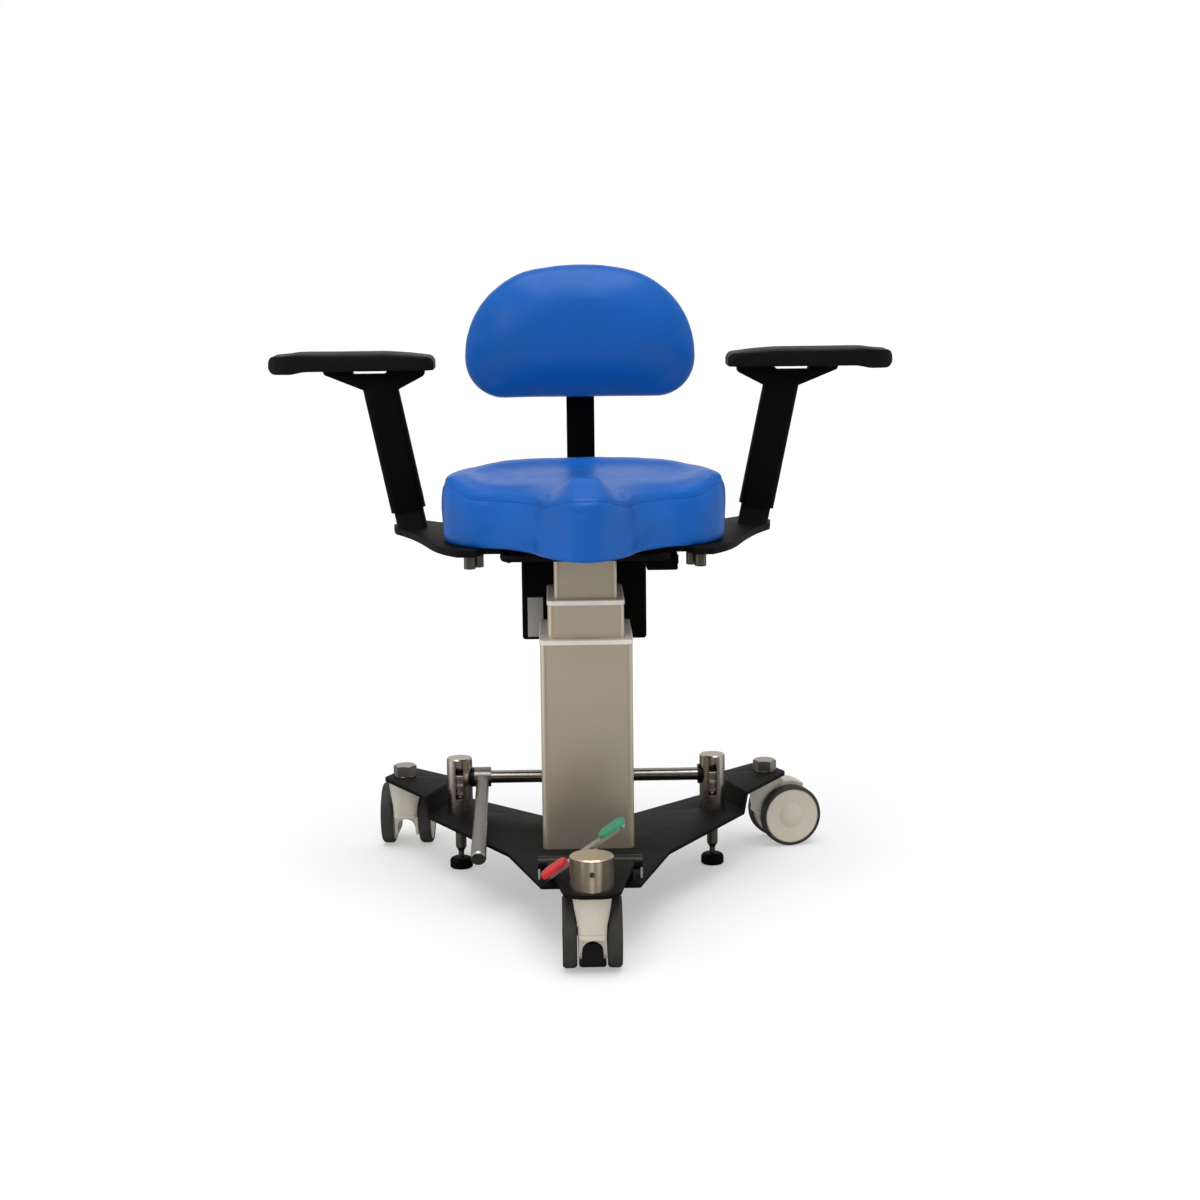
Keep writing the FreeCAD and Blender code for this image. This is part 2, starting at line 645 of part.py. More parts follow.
def column_rim(size, inner_size, z):
    """Moulded collar on a profile's top end, with a lip that guides the next profile."""
    width, depth, radius = size
    lip = prism(rectangle(width - 2 * WALL, depth - 2 * WALL, radius - WALL), z - RIM_LIP, z)
    collar = prism(rectangle(width + 2, depth + 2, radius + 1), z, z + RIM_H)
    collar = collar.makeFillet(2, edges_near(collar, lambda p: abs(p.z - z - RIM_H) < 0.1))
    opening = rectangle(inner_size[0] + 2 * SLIDE_GAP, inner_size[1] + 2 * SLIDE_GAP, inner_size[2] + SLIDE_GAP)
    return collar.fuse(lip).removeSplitter().cut(prism(opening, z - 2 * RIM_LIP, z + 2 * RIM_H))


def glide_pads(size, outer_size, z0, z1):
    """Plastic glides on the foot of a profile, running inside the next one out."""
    pads = []
    reach_x = outer_size[0] / 2 - WALL - SLIDE_GAP
    reach_y = outer_size[1] / 2 - WALL - SLIDE_GAP
    for side in (-1, 1):
        for offset in (-1, 1):
            x = offset * size[0] / 4
            y = offset * size[1] / 4
            across = sorted((side * size[0] / 2, side * reach_x))
            along = sorted((side * size[1] / 2, side * reach_y))
            pads.append(box(across[0], across[1], y - 14, y + 14, z0, z1))
            pads.append(box(x - 12, x + 12, along[0], along[1], z0, z1))
    return pads


def lift_motor():
    """Drive motor and its gearbox on the column's floor."""
    gearbox = prism(rectangle(70, 110, 8), PLATE_TOP, PLATE_TOP + GEARBOX_H)
    motor = cylinder(24, (0, -RAM_Y, PLATE_TOP + GEARBOX_H - 4), (0, -RAM_Y, RAM_FOOT + 10))
    return gearbox.fuse(motor).removeSplitter()


def lift_guide():
    """Fixed tube of the lift actuator, standing on the gearbox."""
    return ring(RAM_R + 4, RAM_R + RUNNING, (0, RAM_Y, PLATE_TOP + GEARBOX_H), (0, RAM_Y, RAM_FOOT + 130))


def lift_ram():
    """Push rod of the actuator, up to the seat frame."""
    return cylinder(RAM_R, (0, RAM_Y, RAM_FOOT), (0, RAM_Y, FRAME_LOW))


# Seat

def smooth_step(value):
    """Ease from 0 to 1 as the value goes from 0 to 1."""
    held = min(1.0, max(0.0, value))
    return held * held * (3 - 2 * held)


def seat_crown(x, y):
    """Height of the seat's top: dished, raised at the rear and sides, with a pommel in front."""
    spread = (x / SEAT_HALF) ** 2 + ((y - DISH_Y) / DISH_REACH) ** 2
    rim = RIM_RISE * smooth_step((spread - 0.35) / 0.6) * smooth_step((y + 90) / 130)
    pommel = POMMEL_RISE * math.exp(-(x / POMMEL_HALF) ** 2 - ((y - POMMEL_Y) / POMMEL_REACH) ** 2)
    return DISH_LOW + rim + pommel


def seat_seam(y):
    """Height of the wall's upper edge: low along the leg cut-outs, higher at the nose, rear and sides."""
    side = smooth_step((y + 75) / 60)
    nose = smooth_step((-165 - y) / 75) * (1 - side)
    return SEAM_FRONT + (SEAM_SIDE - SEAM_FRONT) * side + (SEAM_NOSE - SEAM_FRONT) * nose


def level(z):
    """The same height everywhere."""
    return lambda x, y: z


def rolled(share):
    """Height part of the way from the wall's upper edge to the crown."""
    return lambda x, y: seat_seam(y) + share * (seat_crown(x, y) - seat_seam(y))


def seat_wire(inset, height):
    """Seat outline drawn in by a margin: broad round rear, two leg cut-outs and a nose."""
    across = 1 - inset / SEAT_HALF
    along = 1 - inset / SEAT_REACH

    def at(x, y):
        drawn_x = x * across
        drawn_y = SEAT_MID_Y + (y - SEAT_MID_Y) * along
        return V(drawn_x, drawn_y, height(drawn_x, drawn_y))

    half = [(-150, 170), (-197, 118), (-214, 42), (-211, -14), (-196, -46), (-182, -64), (-158, -78),
            (-108, -107), (-74, -156), (-52, -206), (-24, -238)]
    left = [at(x, y) for x, y in half]
    right = [at(-x, y) for x, y in half]
    edges = [Part.Arc(left[k], left[k + 1], left[k + 2]).toShape() for k in range(0, 10, 2)]
    edges.append(Part.Arc(left[10], at(0, -246), right[10]).toShape())
    edges += [Part.Arc(right[k], right[k - 1], right[k - 2]).toShape() for k in range(10, 0, -2)]
    edges.append(Part.Arc(right[0], at(0, 222), left[0]).toShape())
    return Part.Wire(edges)


def seat_board():
    """Board that the upholstery is stretched over."""
    return Part.Face(seat_wire(BOARD_MARGIN, level(SEAT_LOW))).extrude(V(0, 0, BOARD_T))


def seat_cushion():
    """Upholstered seat: upright wall, rolled rim, dished top and a raised pommel."""
    sections = [(8, level(SEAT_LOW)), (4, level(SEAT_LOW + 9)), (3, level(575)), (3, rolled(0)), (6, rolled(0.5)),
                (14, rolled(0.87)), (30, seat_crown), (62, seat_crown), (105, seat_crown), (150, seat_crown),
                (195, level(DISH_LOW))]
    cushion = Part.makeLoft([seat_wire(inset, height) for inset, height in sections], True, False, False, SEAT_DEGREE)
    return cushion.cut(seat_board())


def seat_frame():
    """Folded steel tray on top of the column, with two raised strips under the seat board."""
    tray = prism([(-124, -100, 14), (124, -100, 14), (124, 172, 14), (-124, 172, 14)], FRAME_LOW, FRAME_TOP)
    tray = tray.makeFillet(7, edges_near(tray, lambda p: abs(p.z - FRAME_LOW) < 0.1))
    left_flange = box(-115, -115 + FLANGE_T, -20, 90, FLANGE_LOW, FRAME_LOW)
    right_flange = box(CONTROL_IN - FLANGE_T, CONTROL_IN, -60, 90, FLANGE_LOW, FRAME_LOW)
    strips = [box(x - 10, x + 10, -85, 160, FRAME_TOP, SEAT_LOW) for x in (-100, 100)]
    return tray.fuse([left_flange, right_flange] + strips).removeSplitter()


def arm_bracket():
    """Left wing plate under the seat with the inner arm post welded to its end."""
    wing_edge = [(-186, -92), (-222, -28), (-241, 38), (-262, 103), (-293, 172)]
    curve = Part.BSplineCurve()
    curve.interpolate([V(x, y, WING_LOW) for x, y in wing_edge])
    rest = [(-293, 172), (-298, 214), (-284, 252), (-252, 262), (-226, 236), (-WING_IN, 224),
            (-WING_IN, -60), (-147, -60), (-160, -92), (-186, -92)]
    corners = [V(x, y, WING_LOW) for x, y in rest]
    lines = [Part.LineSegment(start, end).toShape() for start, end in zip(corners, corners[1:])]
    wing = Part.Face(Part.Wire([curve.toShape()] + lines)).extrude(V(0, 0, SEAT_LOW - WING_LOW))
    post = on_arm(prism(rectangle(POST_W, POST_T, 9), -12, ARM_POST_LENGTH))
    post = post.cut(box(-400, -200, 0, 300, WING_LOW - 50, WING_LOW + 1))
    return wing.fuse(post).removeSplitter()


def on_arm(shape):
    """Move a piece drawn along +Z to the left arm's leaning axis."""
    copy = shape.copy()
    copy.rotate(V(0, 0, 0), V(0, 1, 0), -ARM_LEAN)
    copy.translate(V(-ARM_FOOT_X, ARM_Y, SEAT_LOW))
    return copy


def arm_button():
    """Height release button in the sleeve's rear wall."""
    rear = SLEEVE_T / 2
    return on_arm(button_prism(0, rear - 1.7, rear + 3))


def button_prism(margin, y0, y1):
    """Round-ended upright prism of the button, larger all round by a margin."""
    half = BUTTON_W / 2 + margin
    low = BUTTON_LOW - margin
    high = BUTTON_HIGH + margin
    radius = half - 0.1
    corners = [(-half, low, radius), (half, low, radius), (half, high, radius), (-half, high, radius)]
    return side_prism(corners, y0, y1)


def arm_sleeve():
    """Left sleeve with the spreading head that carries the arm pad."""
    sleeve = on_arm(prism(rectangle(SLEEVE_W, SLEEVE_T, 11), SLEEVE_FROM, SLEEVE_TO))
    foot_x = -ARM_FOOT_X - math.tan(math.radians(ARM_LEAN)) * (HEAD_LOW - SEAT_LOW)
    half = SLEEVE_W / 2
    head = [(foot_x - half, HEAD_LOW, 8), (foot_x + half, HEAD_LOW, 8), (-243, 778, 4), (-241, PAD_LOW, 0),
            (-298, PAD_LOW, 0), (-304, HEAD_SLOT, 0), (-352, HEAD_SLOT, 0), (-354, PAD_LOW, 0),
            (-398, PAD_LOW, 0), (-396, 781, 4)]
    spread = side_prism(head, ARM_Y - HEAD_HALF_Y, ARM_Y + HEAD_HALF_Y)
    bore = on_arm(prism(rectangle(POST_W + 2 * SLIDE_GAP, POST_T + 2 * SLIDE_GAP, 9 + SLIDE_GAP), 0, SLEEVE_TO - 12))
    window = on_arm(button_prism(BUTTON_GAP, 0, SLEEVE_T))
    return sleeve.fuse(spread).removeSplitter().cut(bore).cut(window)


def arm_pad():
    """Left arm pad: long moulded pad, thicker and rounder at its outer end."""
    side = [(-ARM_PAD_IN, PAD_LOW, 5), (-ARM_PAD_IN, 808, 10), (-300, PAD_TOP, 150), (-468, PAD_TOP, 24),
            (-ARM_PAD_OUT, 798, 13), (-474, PAD_BULGE, 10), (-444, PAD_BULGE, 30), (-424, PAD_LOW, 30)]
    low = ARM_Y - ARM_PAD_HALF
    high = ARM_Y + ARM_PAD_HALF
    outline = [(-ARM_PAD_IN, low + 4, 16), (-ARM_PAD_IN, high - 4, 16), (-ARM_PAD_OUT, high, 36),
               (-ARM_PAD_OUT, low, 36)]
    return side_prism(side, low, high).common(prism(outline, PAD_BULGE - 10, PAD_TOP + 10))


# Boxes under the seat

def battery_box():
    """Battery and drive unit hung behind the column."""
    corners = [(-BOX_HALF, BOX_FRONT, 6), (BOX_HALF, BOX_FRONT, 6), (BOX_HALF, BOX_REAR, 14),
               (-BOX_HALF, BOX_REAR, 14)]
    case = prism(corners, BOX_LOW, FRAME_LOW)
    return case.makeFillet(5, edges_near(case, lambda p: abs(p.z - BOX_LOW) < 0.1))


def control_box():
    """Switch housing on the tray's right flange, with a pocket for the rocker."""
    case = box(CONTROL_IN, CONTROL_OUT, -45, 65, CONTROL_LOW, FRAME_LOW)
    case = case.makeFillet(3, edges_near(case, lambda p: abs(p.z - CONTROL_LOW) < 0.1))
    reach = ROCKER_HALF + 1
    pocket = box(CONTROL_OUT - ROCKER_DEPTH - 3, CONTROL_OUT + 1, ROCKER_Y - reach, ROCKER_Y + reach,
                 ROCKER_Z - ROCKER_H / 2 - 0.5, ROCKER_Z + ROCKER_H / 2 + 0.5)
    return case.cut(pocket).cut(rocker_pin(ROCKER_PIN_R + RUNNING, ROCKER_PIN_HALF + 0.3))


def rocker_pin(radius, half):
    """Upright pivot at the rocker's root."""
    root = CONTROL_OUT - ROCKER_DEPTH
    return cylinder(radius, (root, ROCKER_Y, ROCKER_Z - half), (root, ROCKER_Y, ROCKER_Z + half))


def lift_rocker():
    """Up and down rocker with its pivot, shallow V on its outer face."""
    root = CONTROL_OUT - ROCKER_DEPTH
    points = [(root, -ROCKER_HALF), (CONTROL_OUT + 3, -ROCKER_HALF), (CONTROL_OUT + 1, 0),
              (CONTROL_OUT + 3, ROCKER_HALF), (root, ROCKER_HALF)]
    wire = Part.makePolygon([V(x, ROCKER_Y + y, ROCKER_Z - ROCKER_H / 2) for x, y in points + points[:1]])
    key = Part.Face(wire).extrude(V(0, 0, ROCKER_H))
    return key.fuse(rocker_pin(ROCKER_PIN_R, ROCKER_PIN_HALF)).removeSplitter()


# Backrest

def back_bar():
    """Bent flat bar from under the seat board up behind the backrest."""
    bend = 40.0
    upright = BACK_BAR_Y
    outer = upright + BAR_T
    profile = [(70, FRAME_TOP, 0), (outer, FRAME_TOP, bend), (outer, BACK_BAR_TOP, 3), (upright, BACK_BAR_TOP, 3),
               (upright, SEAT_LOW, bend - BAR_T), (70, SEAT_LOW, 0)]
    wire = rounded_wire([(V(-BAR_W / 2, y, z), radius) for y, z, radius in profile])
    return Part.Face(wire).extrude(V(BAR_W, 0, 0))


def back_carriage():
    """Block that slides on the bar and holds the backrest's hinge knuckle and pin."""
    front = BACK_BAR_Y - 4.5
    rear = BACK_BAR_Y + BAR_T + 9
    block = prism([(-33, front, 4), (33, front, 4), (33, rear, 8), (-33, rear, 8)], HINGE_Z - 42, HINGE_Z + 42)
    knuckle = cylinder(HINGE_R, (-15, HINGE_Y, HINGE_Z), (15, HINGE_Y, HINGE_Z))
    web = box(-15, 15, HINGE_Y, front + 1, HINGE_Z - HINGE_R, HINGE_Z + HINGE_R)
    pin = cylinder(HINGE_PIN_R, (-29, HINGE_Y, HINGE_Z), (29, HINGE_Y, HINGE_Z))
    block = block.fuse([knuckle, web, pin]).removeSplitter()
    gap = SLIDE_GAP / 2
    channel = box(-BAR_W / 2 - gap, BAR_W / 2 + gap, BACK_BAR_Y - gap, BACK_BAR_Y + BAR_T + gap, 0, 1200)
    knob_hole = cylinder(HINGE_PIN_R + RUNNING, (0, BACK_BAR_Y + BAR_T, HINGE_Z - 20), (0, rear + 5, HINGE_Z - 20))
    return block.cut(channel).cut(knob_hole)


def back_knob():
    """Clamp knob with finger scallops on a short screw."""
    rear = BACK_BAR_Y + BAR_T + 9
    z = HINGE_Z - 20
    screw = cylinder(HINGE_PIN_R, (0, BACK_BAR_Y + BAR_T + 0.3, z), (0, rear + 2, z))
    head = cylinder(19, (0, rear + 1, z), (0, rear + 19, z))
    for k in range(6):
        turn = math.radians(60 * k)
        x = 24 * math.cos(turn)
        height = z + 24 * math.sin(turn)
        head = head.cut(cylinder(9, (x, rear, height), (x, rear + 30, height)))
    return screw.fuse(head).removeSplitter()


def back_wire(y, inset):
    """D-shaped backrest outline drawn in by a margin."""
    scale_x = 1 - inset / BACK_HALF
    scale_z = 1 - inset / (BACK_TOP - BACK_MID)

    def at(x, z):
        return V(x * scale_x, y, BACK_MID + (z - BACK_MID) * scale_z)

    half = [(-124, BACK_LOW), (-165, 753), (-BACK_HALF, 806), (-154, 888), (-84, 936)]
    left = [at(x, z) for x, z in half]
    right = [at(-x, z) for x, z in half]
    edges = [Part.Arc(left[0], left[1], left[2]).toShape(), Part.Arc(left[2], left[3], left[4]).toShape(),
             Part.Arc(left[4], at(0, BACK_TOP), right[4]).toShape(), Part.Arc(right[4], right[3], right[2]).toShape(),
             Part.Arc(right[2], right[1], right[0]).toShape(), Part.LineSegment(right[0], left[0]).toShape()]
    return Part.Wire(edges)


def back_cushion():
    """Backrest pad with a crowned front and a rolled edge."""
    sections = [(BACK_REAR, 4), (BACK_REAR - 9, 0)]
    for degrees in (0, 18, 36, 54, 72, 88):
        turn = math.radians(degrees)
        sections.append((BACK_FRONT + BACK_CROWN * (1 - math.sin(turn)), BACK_CROWN_IN * (1 - math.cos(turn))))
    return Part.makeLoft([back_wire(y, inset) for y, inset in sections], True, False, False, BACK_DEGREE)


def back_board():
    """Rear shell of the backrest with two hinge knuckles."""
    rear = BACK_REAR + BACK_BOARD_T
    board = Part.Face(back_wire(BACK_REAR, 12)).extrude(V(0, BACK_BOARD_T, 0))
    board = board.makeFillet(4, edges_near(board, lambda p: abs(p.y - rear) < 0.1))
    for side in (-1, 1):
        inner = side * 15.4
        outer = side * 28
        knuckle = cylinder(HINGE_R, (inner, HINGE_Y, HINGE_Z), (outer, HINGE_Y, HINGE_Z))
        foot = box(min(inner, outer), max(inner, outer), rear - 1, HINGE_Y, HINGE_Z - HINGE_R, HINGE_Z + HINGE_R)
        board = board.fuse([knuckle, foot])
    bore = cylinder(HINGE_PIN_R + RUNNING, (-40, HINGE_Y, HINGE_Z), (40, HINGE_Y, HINGE_Z))
    return board.removeSplitter().cut(bore)


def write_base():
    """Everything that stands on the castors and doesn't rise with the seat."""
    write_part("base_plate", base_plate())
    write_part("front_tongue", front_tongue())
    write_part("front_bar", front_bar())
    write_part("bar_lugs", tube_lug(-1), tube_lug(1))
    write_part("stem_socket", stem_socket())
    write_part("castor_stems", castor_stem(0, FRONT_STEM_Y, SOCKET_BORE_R, SOCKET_TOP - 9),
               castor_stem(-STEM_X, STEM_Y, SWIVEL_R, TAB_TOP), castor_stem(STEM_X, STEM_Y, SWIVEL_R, TAB_TOP))
    write_part("stem_bolts", *[hexagon(BOLT_FLATS, x, STEM_Y, TAB_TOP, TAB_TOP + BOLT_H) for x in (-STEM_X, STEM_X)])
    write_part("brake_post_left", brake_post())
    write_part("brake_post_right", mirrored(brake_post()))
    write_part("post_bushes", post_bush(), mirrored(post_bush()))
    write_part("column_outer", profile_tube(OUTER, PLATE_TOP, OUTER_TOP))
    write_part("column_outer_rim", column_rim(OUTER, MIDDLE, OUTER_TOP))
    write_part("lift_motor", lift_motor())
    write_part("lift_guide", lift_guide())


def write_castors():
    """Hood, wheel pair and treads of each castor."""
    hood = castor_hood()
    for name in CASTORS:
        write_part("castor_hood_" + name, placed_castor(hood, name))
        wheels = [wheel_disc(-1), castor_axle(), wheel_disc(1)]
        write_part("castor_wheels_" + name, *[placed_castor(piece, name) for piece in wheels])
        treads = [wheel_tread(-1), wheel_tread(1)]
        write_part("castor_treads_" + name, *[placed_castor(piece, name) for piece in treads])
    write_part("castor_lock", placed_castor(castor_lock(), "front"))


def write_brake():
    """Floor brake and castor lock."""
    write_part("brake_shaft", brake_shaft())
    write_part("brake_cams", brake_cam(-POST_X), brake_cam(POST_X))
    write_part("brake_lever", brake_lever())
    write_part("brake_rod_left", brake_rod())
    write_part("brake_rod_right", mirrored(brake_rod()))
    write_part("brake_pad_left", brake_pad())
    write_part("brake_pad_right", mirrored(brake_pad()))
    write_part("pedal_bar", pedal_bar())
    write_part("pedal_pad_lock", pedal_pad(-1))
    write_part("pedal_pad_free", pedal_pad(1))


def write_lift():
    """The two rising column profiles and their glides."""
    write_part("column_middle", profile_tube(MIDDLE, MIDDLE_FOOT, MIDDLE_TOP))
    write_part("column_middle_rim", column_rim(MIDDLE, INNER, MIDDLE_TOP))
    write_part("middle_glides", *glide_pads(MIDDLE, OUTER, MIDDLE_FOOT, MIDDLE_FOOT + 30))
    write_part("column_inner", profile_tube(INNER, INNER_FOOT, FRAME_LOW))
    write_part("inner_glides", *glide_pads(INNER, MIDDLE, INNER_FOOT, INNER_FOOT + 30))
    write_part("lift_ram", lift_ram())


def write_seat():
    """Seat, tray, boxes, armrests and backrest."""
    write_part("seat_frame", seat_frame())
    write_part("seat_board", seat_board())
    write_part("seat_cushion", seat_cushion())
    write_part("battery_box", battery_box())
    write_part("control_box", control_box())
    write_part("lift_rocker", lift_rocker())
    for name, hand in (("left", lambda shape: shape), ("right", mirrored)):
        write_part("arm_bracket_" + name, hand(arm_bracket()))
        write_part("arm_sleeve_" + name, hand(arm_sleeve()))
        write_part("arm_button_" + name, hand(arm_button()))
        write_part("arm_pad_" + name, hand(arm_pad()))
    bolts = [cylinder(WING_BOLT_R, (side * x, y, WING_BOLT_FOOT), (side * x, y, WING_LOW))
             for side in (-1, 1) for x, y in WING_BOLTS]
    write_part("wing_bolts", *bolts)
    write_part("back_bar", back_bar())
    write_part("back_carriage", back_carriage())
    write_part("back_knob", back_knob())
    write_part("back_board", back_board())
    write_part("back_cushion", back_cushion())


os.makedirs("parts", exist_ok=True)
write_base()
write_castors()
write_brake()
write_lift()
write_seat()
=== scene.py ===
"""Looks of the dental operator chair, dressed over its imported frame.

Metres, +Z up, the sitter faces -Y. Rigid pieces whose solids are right keep them and get a
finish. Sheet metal, boxes and sleeves are copied with their edges broken. Upholstery, arm pads,
castor hoods, bolt heads and screws are modelled here.
"""
import math

import bpy
import numpy as np
from mathutils import Matrix, Vector, noise
from mathutils.bvhtree import BVHTree
from mathutils.kdtree import KDTree


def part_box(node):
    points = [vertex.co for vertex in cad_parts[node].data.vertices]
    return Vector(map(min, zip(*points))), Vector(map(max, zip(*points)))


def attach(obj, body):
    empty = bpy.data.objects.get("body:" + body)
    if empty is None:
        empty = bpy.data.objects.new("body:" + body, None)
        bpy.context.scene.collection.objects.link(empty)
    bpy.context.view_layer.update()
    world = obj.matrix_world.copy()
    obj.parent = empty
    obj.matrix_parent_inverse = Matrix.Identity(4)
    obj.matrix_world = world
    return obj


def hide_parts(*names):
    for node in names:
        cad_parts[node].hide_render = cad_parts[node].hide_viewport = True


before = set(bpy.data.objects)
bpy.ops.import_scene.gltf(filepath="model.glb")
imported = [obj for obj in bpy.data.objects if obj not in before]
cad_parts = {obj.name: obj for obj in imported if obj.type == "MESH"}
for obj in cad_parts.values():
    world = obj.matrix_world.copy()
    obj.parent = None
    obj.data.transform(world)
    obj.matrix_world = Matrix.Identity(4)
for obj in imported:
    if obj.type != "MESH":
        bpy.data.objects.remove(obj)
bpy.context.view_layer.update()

COLUMN_Y = 0.0365              # the column's axis, behind the footprint's centre
MERGE = 0.00002                # points closer than this are one
HAIR = 1e-5                    # slack where heights are compared

# Upholstery
FILL_FRAMES = 20               # steps of the cloth under pressure
FILL_PRESSURE = 4.0
BROAD_ROUNDS = 40              # averaging that parts a broad movement from its wrinkles
SEAM_POINTS = 480              # along each sewn seam
SEAM_DEPTH = 0.0016            # how far its stitches pull the skin in
SEAM_WIDTH = 0.004
WELT_RADIUS = 0.0011
WELT_SINK = 0.0004
SEAM_LOW = 0.612               # the seat's seam along the legs, and its rise elsewhere
SEAM_SIDE_RISE = 0.016
SEAM_NOSE_RISE = 0.0165
SEAT_TOP_Z = 0.618             # above this the seat's top is reshaped
POMMEL_RISE = 0.022
POMMEL_FOOT = 0.052            # half its width at the foot
POMMEL_FLANK = 0.037
POMMEL_AHEAD = 0.178           # in front of the column's axis
POMMEL_LENGTH = 0.046
RIM_RISE = 0.0034              # at the middle of the rear rim
RIM_FALL = 0.0074              # towards its sides
NOSE_FOLD_Z = 0.611
NOSE_FOLD_HALF = 0.034
BACK_RISE = 0.013              # how far the backrest's face is filled out
PAD_TOP_DROP = 0.002           # an arm pad's ends below its highest point

# Castors, bolts and screws
STEM_X = 0.294                 # rear castor stems from the middle
STEM_Y = 0.3015
CASTORS = {                    # stem on the floor, and the way the castor trails, degrees from +Y
    "front": ((0, -0.3535, 0), 0),
    "left": ((-STEM_X, STEM_Y, 0), -3),
    "right": ((STEM_X, STEM_Y, 0), -76),
}
PARTING_Z = 0.0595             # line across a castor hood
PARTING_HALF = 0.0196
BOLT_FLATS = 0.033
BOLT_TURN = 24                 # degrees
WASHER = 0.0012                # what shows of it under a bolt head
WING_SCREWS = ((0.1685, -0.075), (0.157, -0.056))
WING_SCREW_R = 0.0085
GRUB_Z = 0.1475
GRUB_DEPTH = 0.0046            # its foot, behind the front of the socket
BOX_PLATE_X = (-0.0875, -0.0635)
BOX_PLATE_Z = (0.378, 0.4395)
# painted shade: half width of the dark shoe between the front castor's wheels
SHADE_SHOE_HALF = 0.0188

# Pieces copied with their edges broken: node, body, slot, how far
EASED = (
    ("base_plate", "base", "black_sheet", 0.0007),
    ("front_tongue", "base", "black_sheet", 0.0006),
    ("seat_frame", "seat", "black_sheet", 0.0006),
    ("back_bar", "seat", "black_sheet", 0.0008),
    ("arm_bracket_left", "seat", "black_sheet", 0.0007),
    ("arm_bracket_right", "seat", "black_sheet", 0.0007),
    ("arm_sleeve_left", "arm_left", "black_plastic", 0.001),
    ("arm_sleeve_right", "arm_right", "black_plastic", 0.001),
    ("battery_box", "seat", "black_plastic", 0.0015),
    ("control_box", "seat", "black_plastic", 0.0012),
    ("back_board", "backrest", "black_plastic", 0.001),
    ("back_carriage", "carriage", "black_plastic", 0.001),
)

# Light: the room's brightness on the chair, and the room as gloss shows it. Bays go by bearing,
# from -X by the camera (0.25), +X and the rear (0.75). Heights dim or lift the bays in front, from
# straight down (0) by level (0.5) to straight up (1).
ROOM_LIGHT = 0.62
ROOM_BAYS = (
    (0.0, 0.85), (0.07, 0.80), (0.14, 0.26), (0.20, 0.24), (0.25, 0.62), (0.30, 0.22),
    (0.36, 0.60), (0.41, 0.25), (0.48, 0.80), (0.56, 0.40), (0.68, 0.50), (0.75, 0.82),
    (0.82, 0.50), (0.94, 0.40), (1.0, 0.85),
)
ROOM_HEIGHTS = (
    (0.0, 1.0), (0.44, 1.0), (0.475, 0.08), (0.66, 0.08), (0.80, 1.5), (1.0, 2.6),
)
FLOOR_GREY = 0.56
FLOOR_GLOW = 0.38              # keeps the shadow pale
# painted reflection: grey of the card that only gloss shows, standing in for shaded floor
SHADE_CARD_GREY = 0.03
SUN_POWER = 1.75
SUN_SPREAD = 50                # degrees
SUN_TILT = 14

# Camera, as fitted to the photograph
IMAGE = 1200                   # pixels across the photograph
SENSOR = 36.0                  # mm
FOCAL_PX = 2255.0
CAMERA_HEIGHT = 1.002
CAMERA_DISTANCE = 3.3
CAMERA_SIDE = 0.0218
CAMERA_PITCH = math.radians(9.40)
CAMERA_TURN = math.radians(-1.08)
CAMERA_ROLL = math.radians(0.63)
AIM_Y = 0.0055                 # where the camera's distance is measured to


# Working with Blender's tools

def deselect():
    """Leave edit mode and clear the selection."""
    if bpy.context.object and bpy.context.object.mode != "OBJECT":
        bpy.ops.object.mode_set(mode="OBJECT")
    bpy.ops.object.select_all(action="DESELECT")


def pick(piece):
    """Make one piece the only selected and active one."""
    deselect()
    piece.select_set(True)
    bpy.context.view_layer.objects.active = piece
    return piece


def named(name):
    """The primitive just added, under its own name."""
    piece = bpy.context.object
    piece.name = name
    piece.data.name = name
    return piece


def select_where(piece, test, mode="VERT"):
    """In edit mode, select the vertices, edges or faces whose middle passes a test."""
    bpy.ops.mesh.select_mode(type=mode)
    bpy.ops.mesh.select_all(action="DESELECT")
    bpy.ops.object.mode_set(mode="OBJECT")
    mesh = piece.data
    if mode == "VERT":
        for vertex in mesh.vertices:
            vertex.select = test(vertex.co)
    elif mode == "EDGE":
        for edge in mesh.edges:
            first, second = (mesh.vertices[index].co for index in edge.vertices)
            edge.select = test((first + second) / 2)
    else:
        for face in mesh.polygons:
            face.select = test(face.center)
    bpy.ops.object.mode_set(mode="EDIT")


def apply_modifier(piece, kind, **settings):
    """Add one modifier, set it and apply it."""
    pick(piece)
    modifier = piece.modifiers.new(kind.title(), kind)
    for key, value in settings.items():
        setattr(modifier, key, value)
    bpy.ops.object.modifier_apply(modifier=modifier.name)
    return piece


def settle(piece, angle=40):
    """Put the piece's place into its mesh and shade it smooth up to an angle."""
    pick(piece)
    bpy.ops.object.transform_apply(location=True, rotation=True, scale=True)
    bpy.ops.object.shade_smooth_by_angle(angle=math.radians(angle))
    return piece


def coordinates(piece):
    """Vertex positions as an array."""
    flat = np.empty(len(piece.data.vertices) * 3, dtype=np.float32)
    piece.data.vertices.foreach_get("co", flat)
    return flat.reshape(-1, 3).astype(float)


def set_coordinates(piece, points):
    """Write vertex positions back."""
    piece.data.vertices.foreach_set("co", np.asarray(points, dtype=np.float32).ravel())
    piece.data.update()


# Finishes

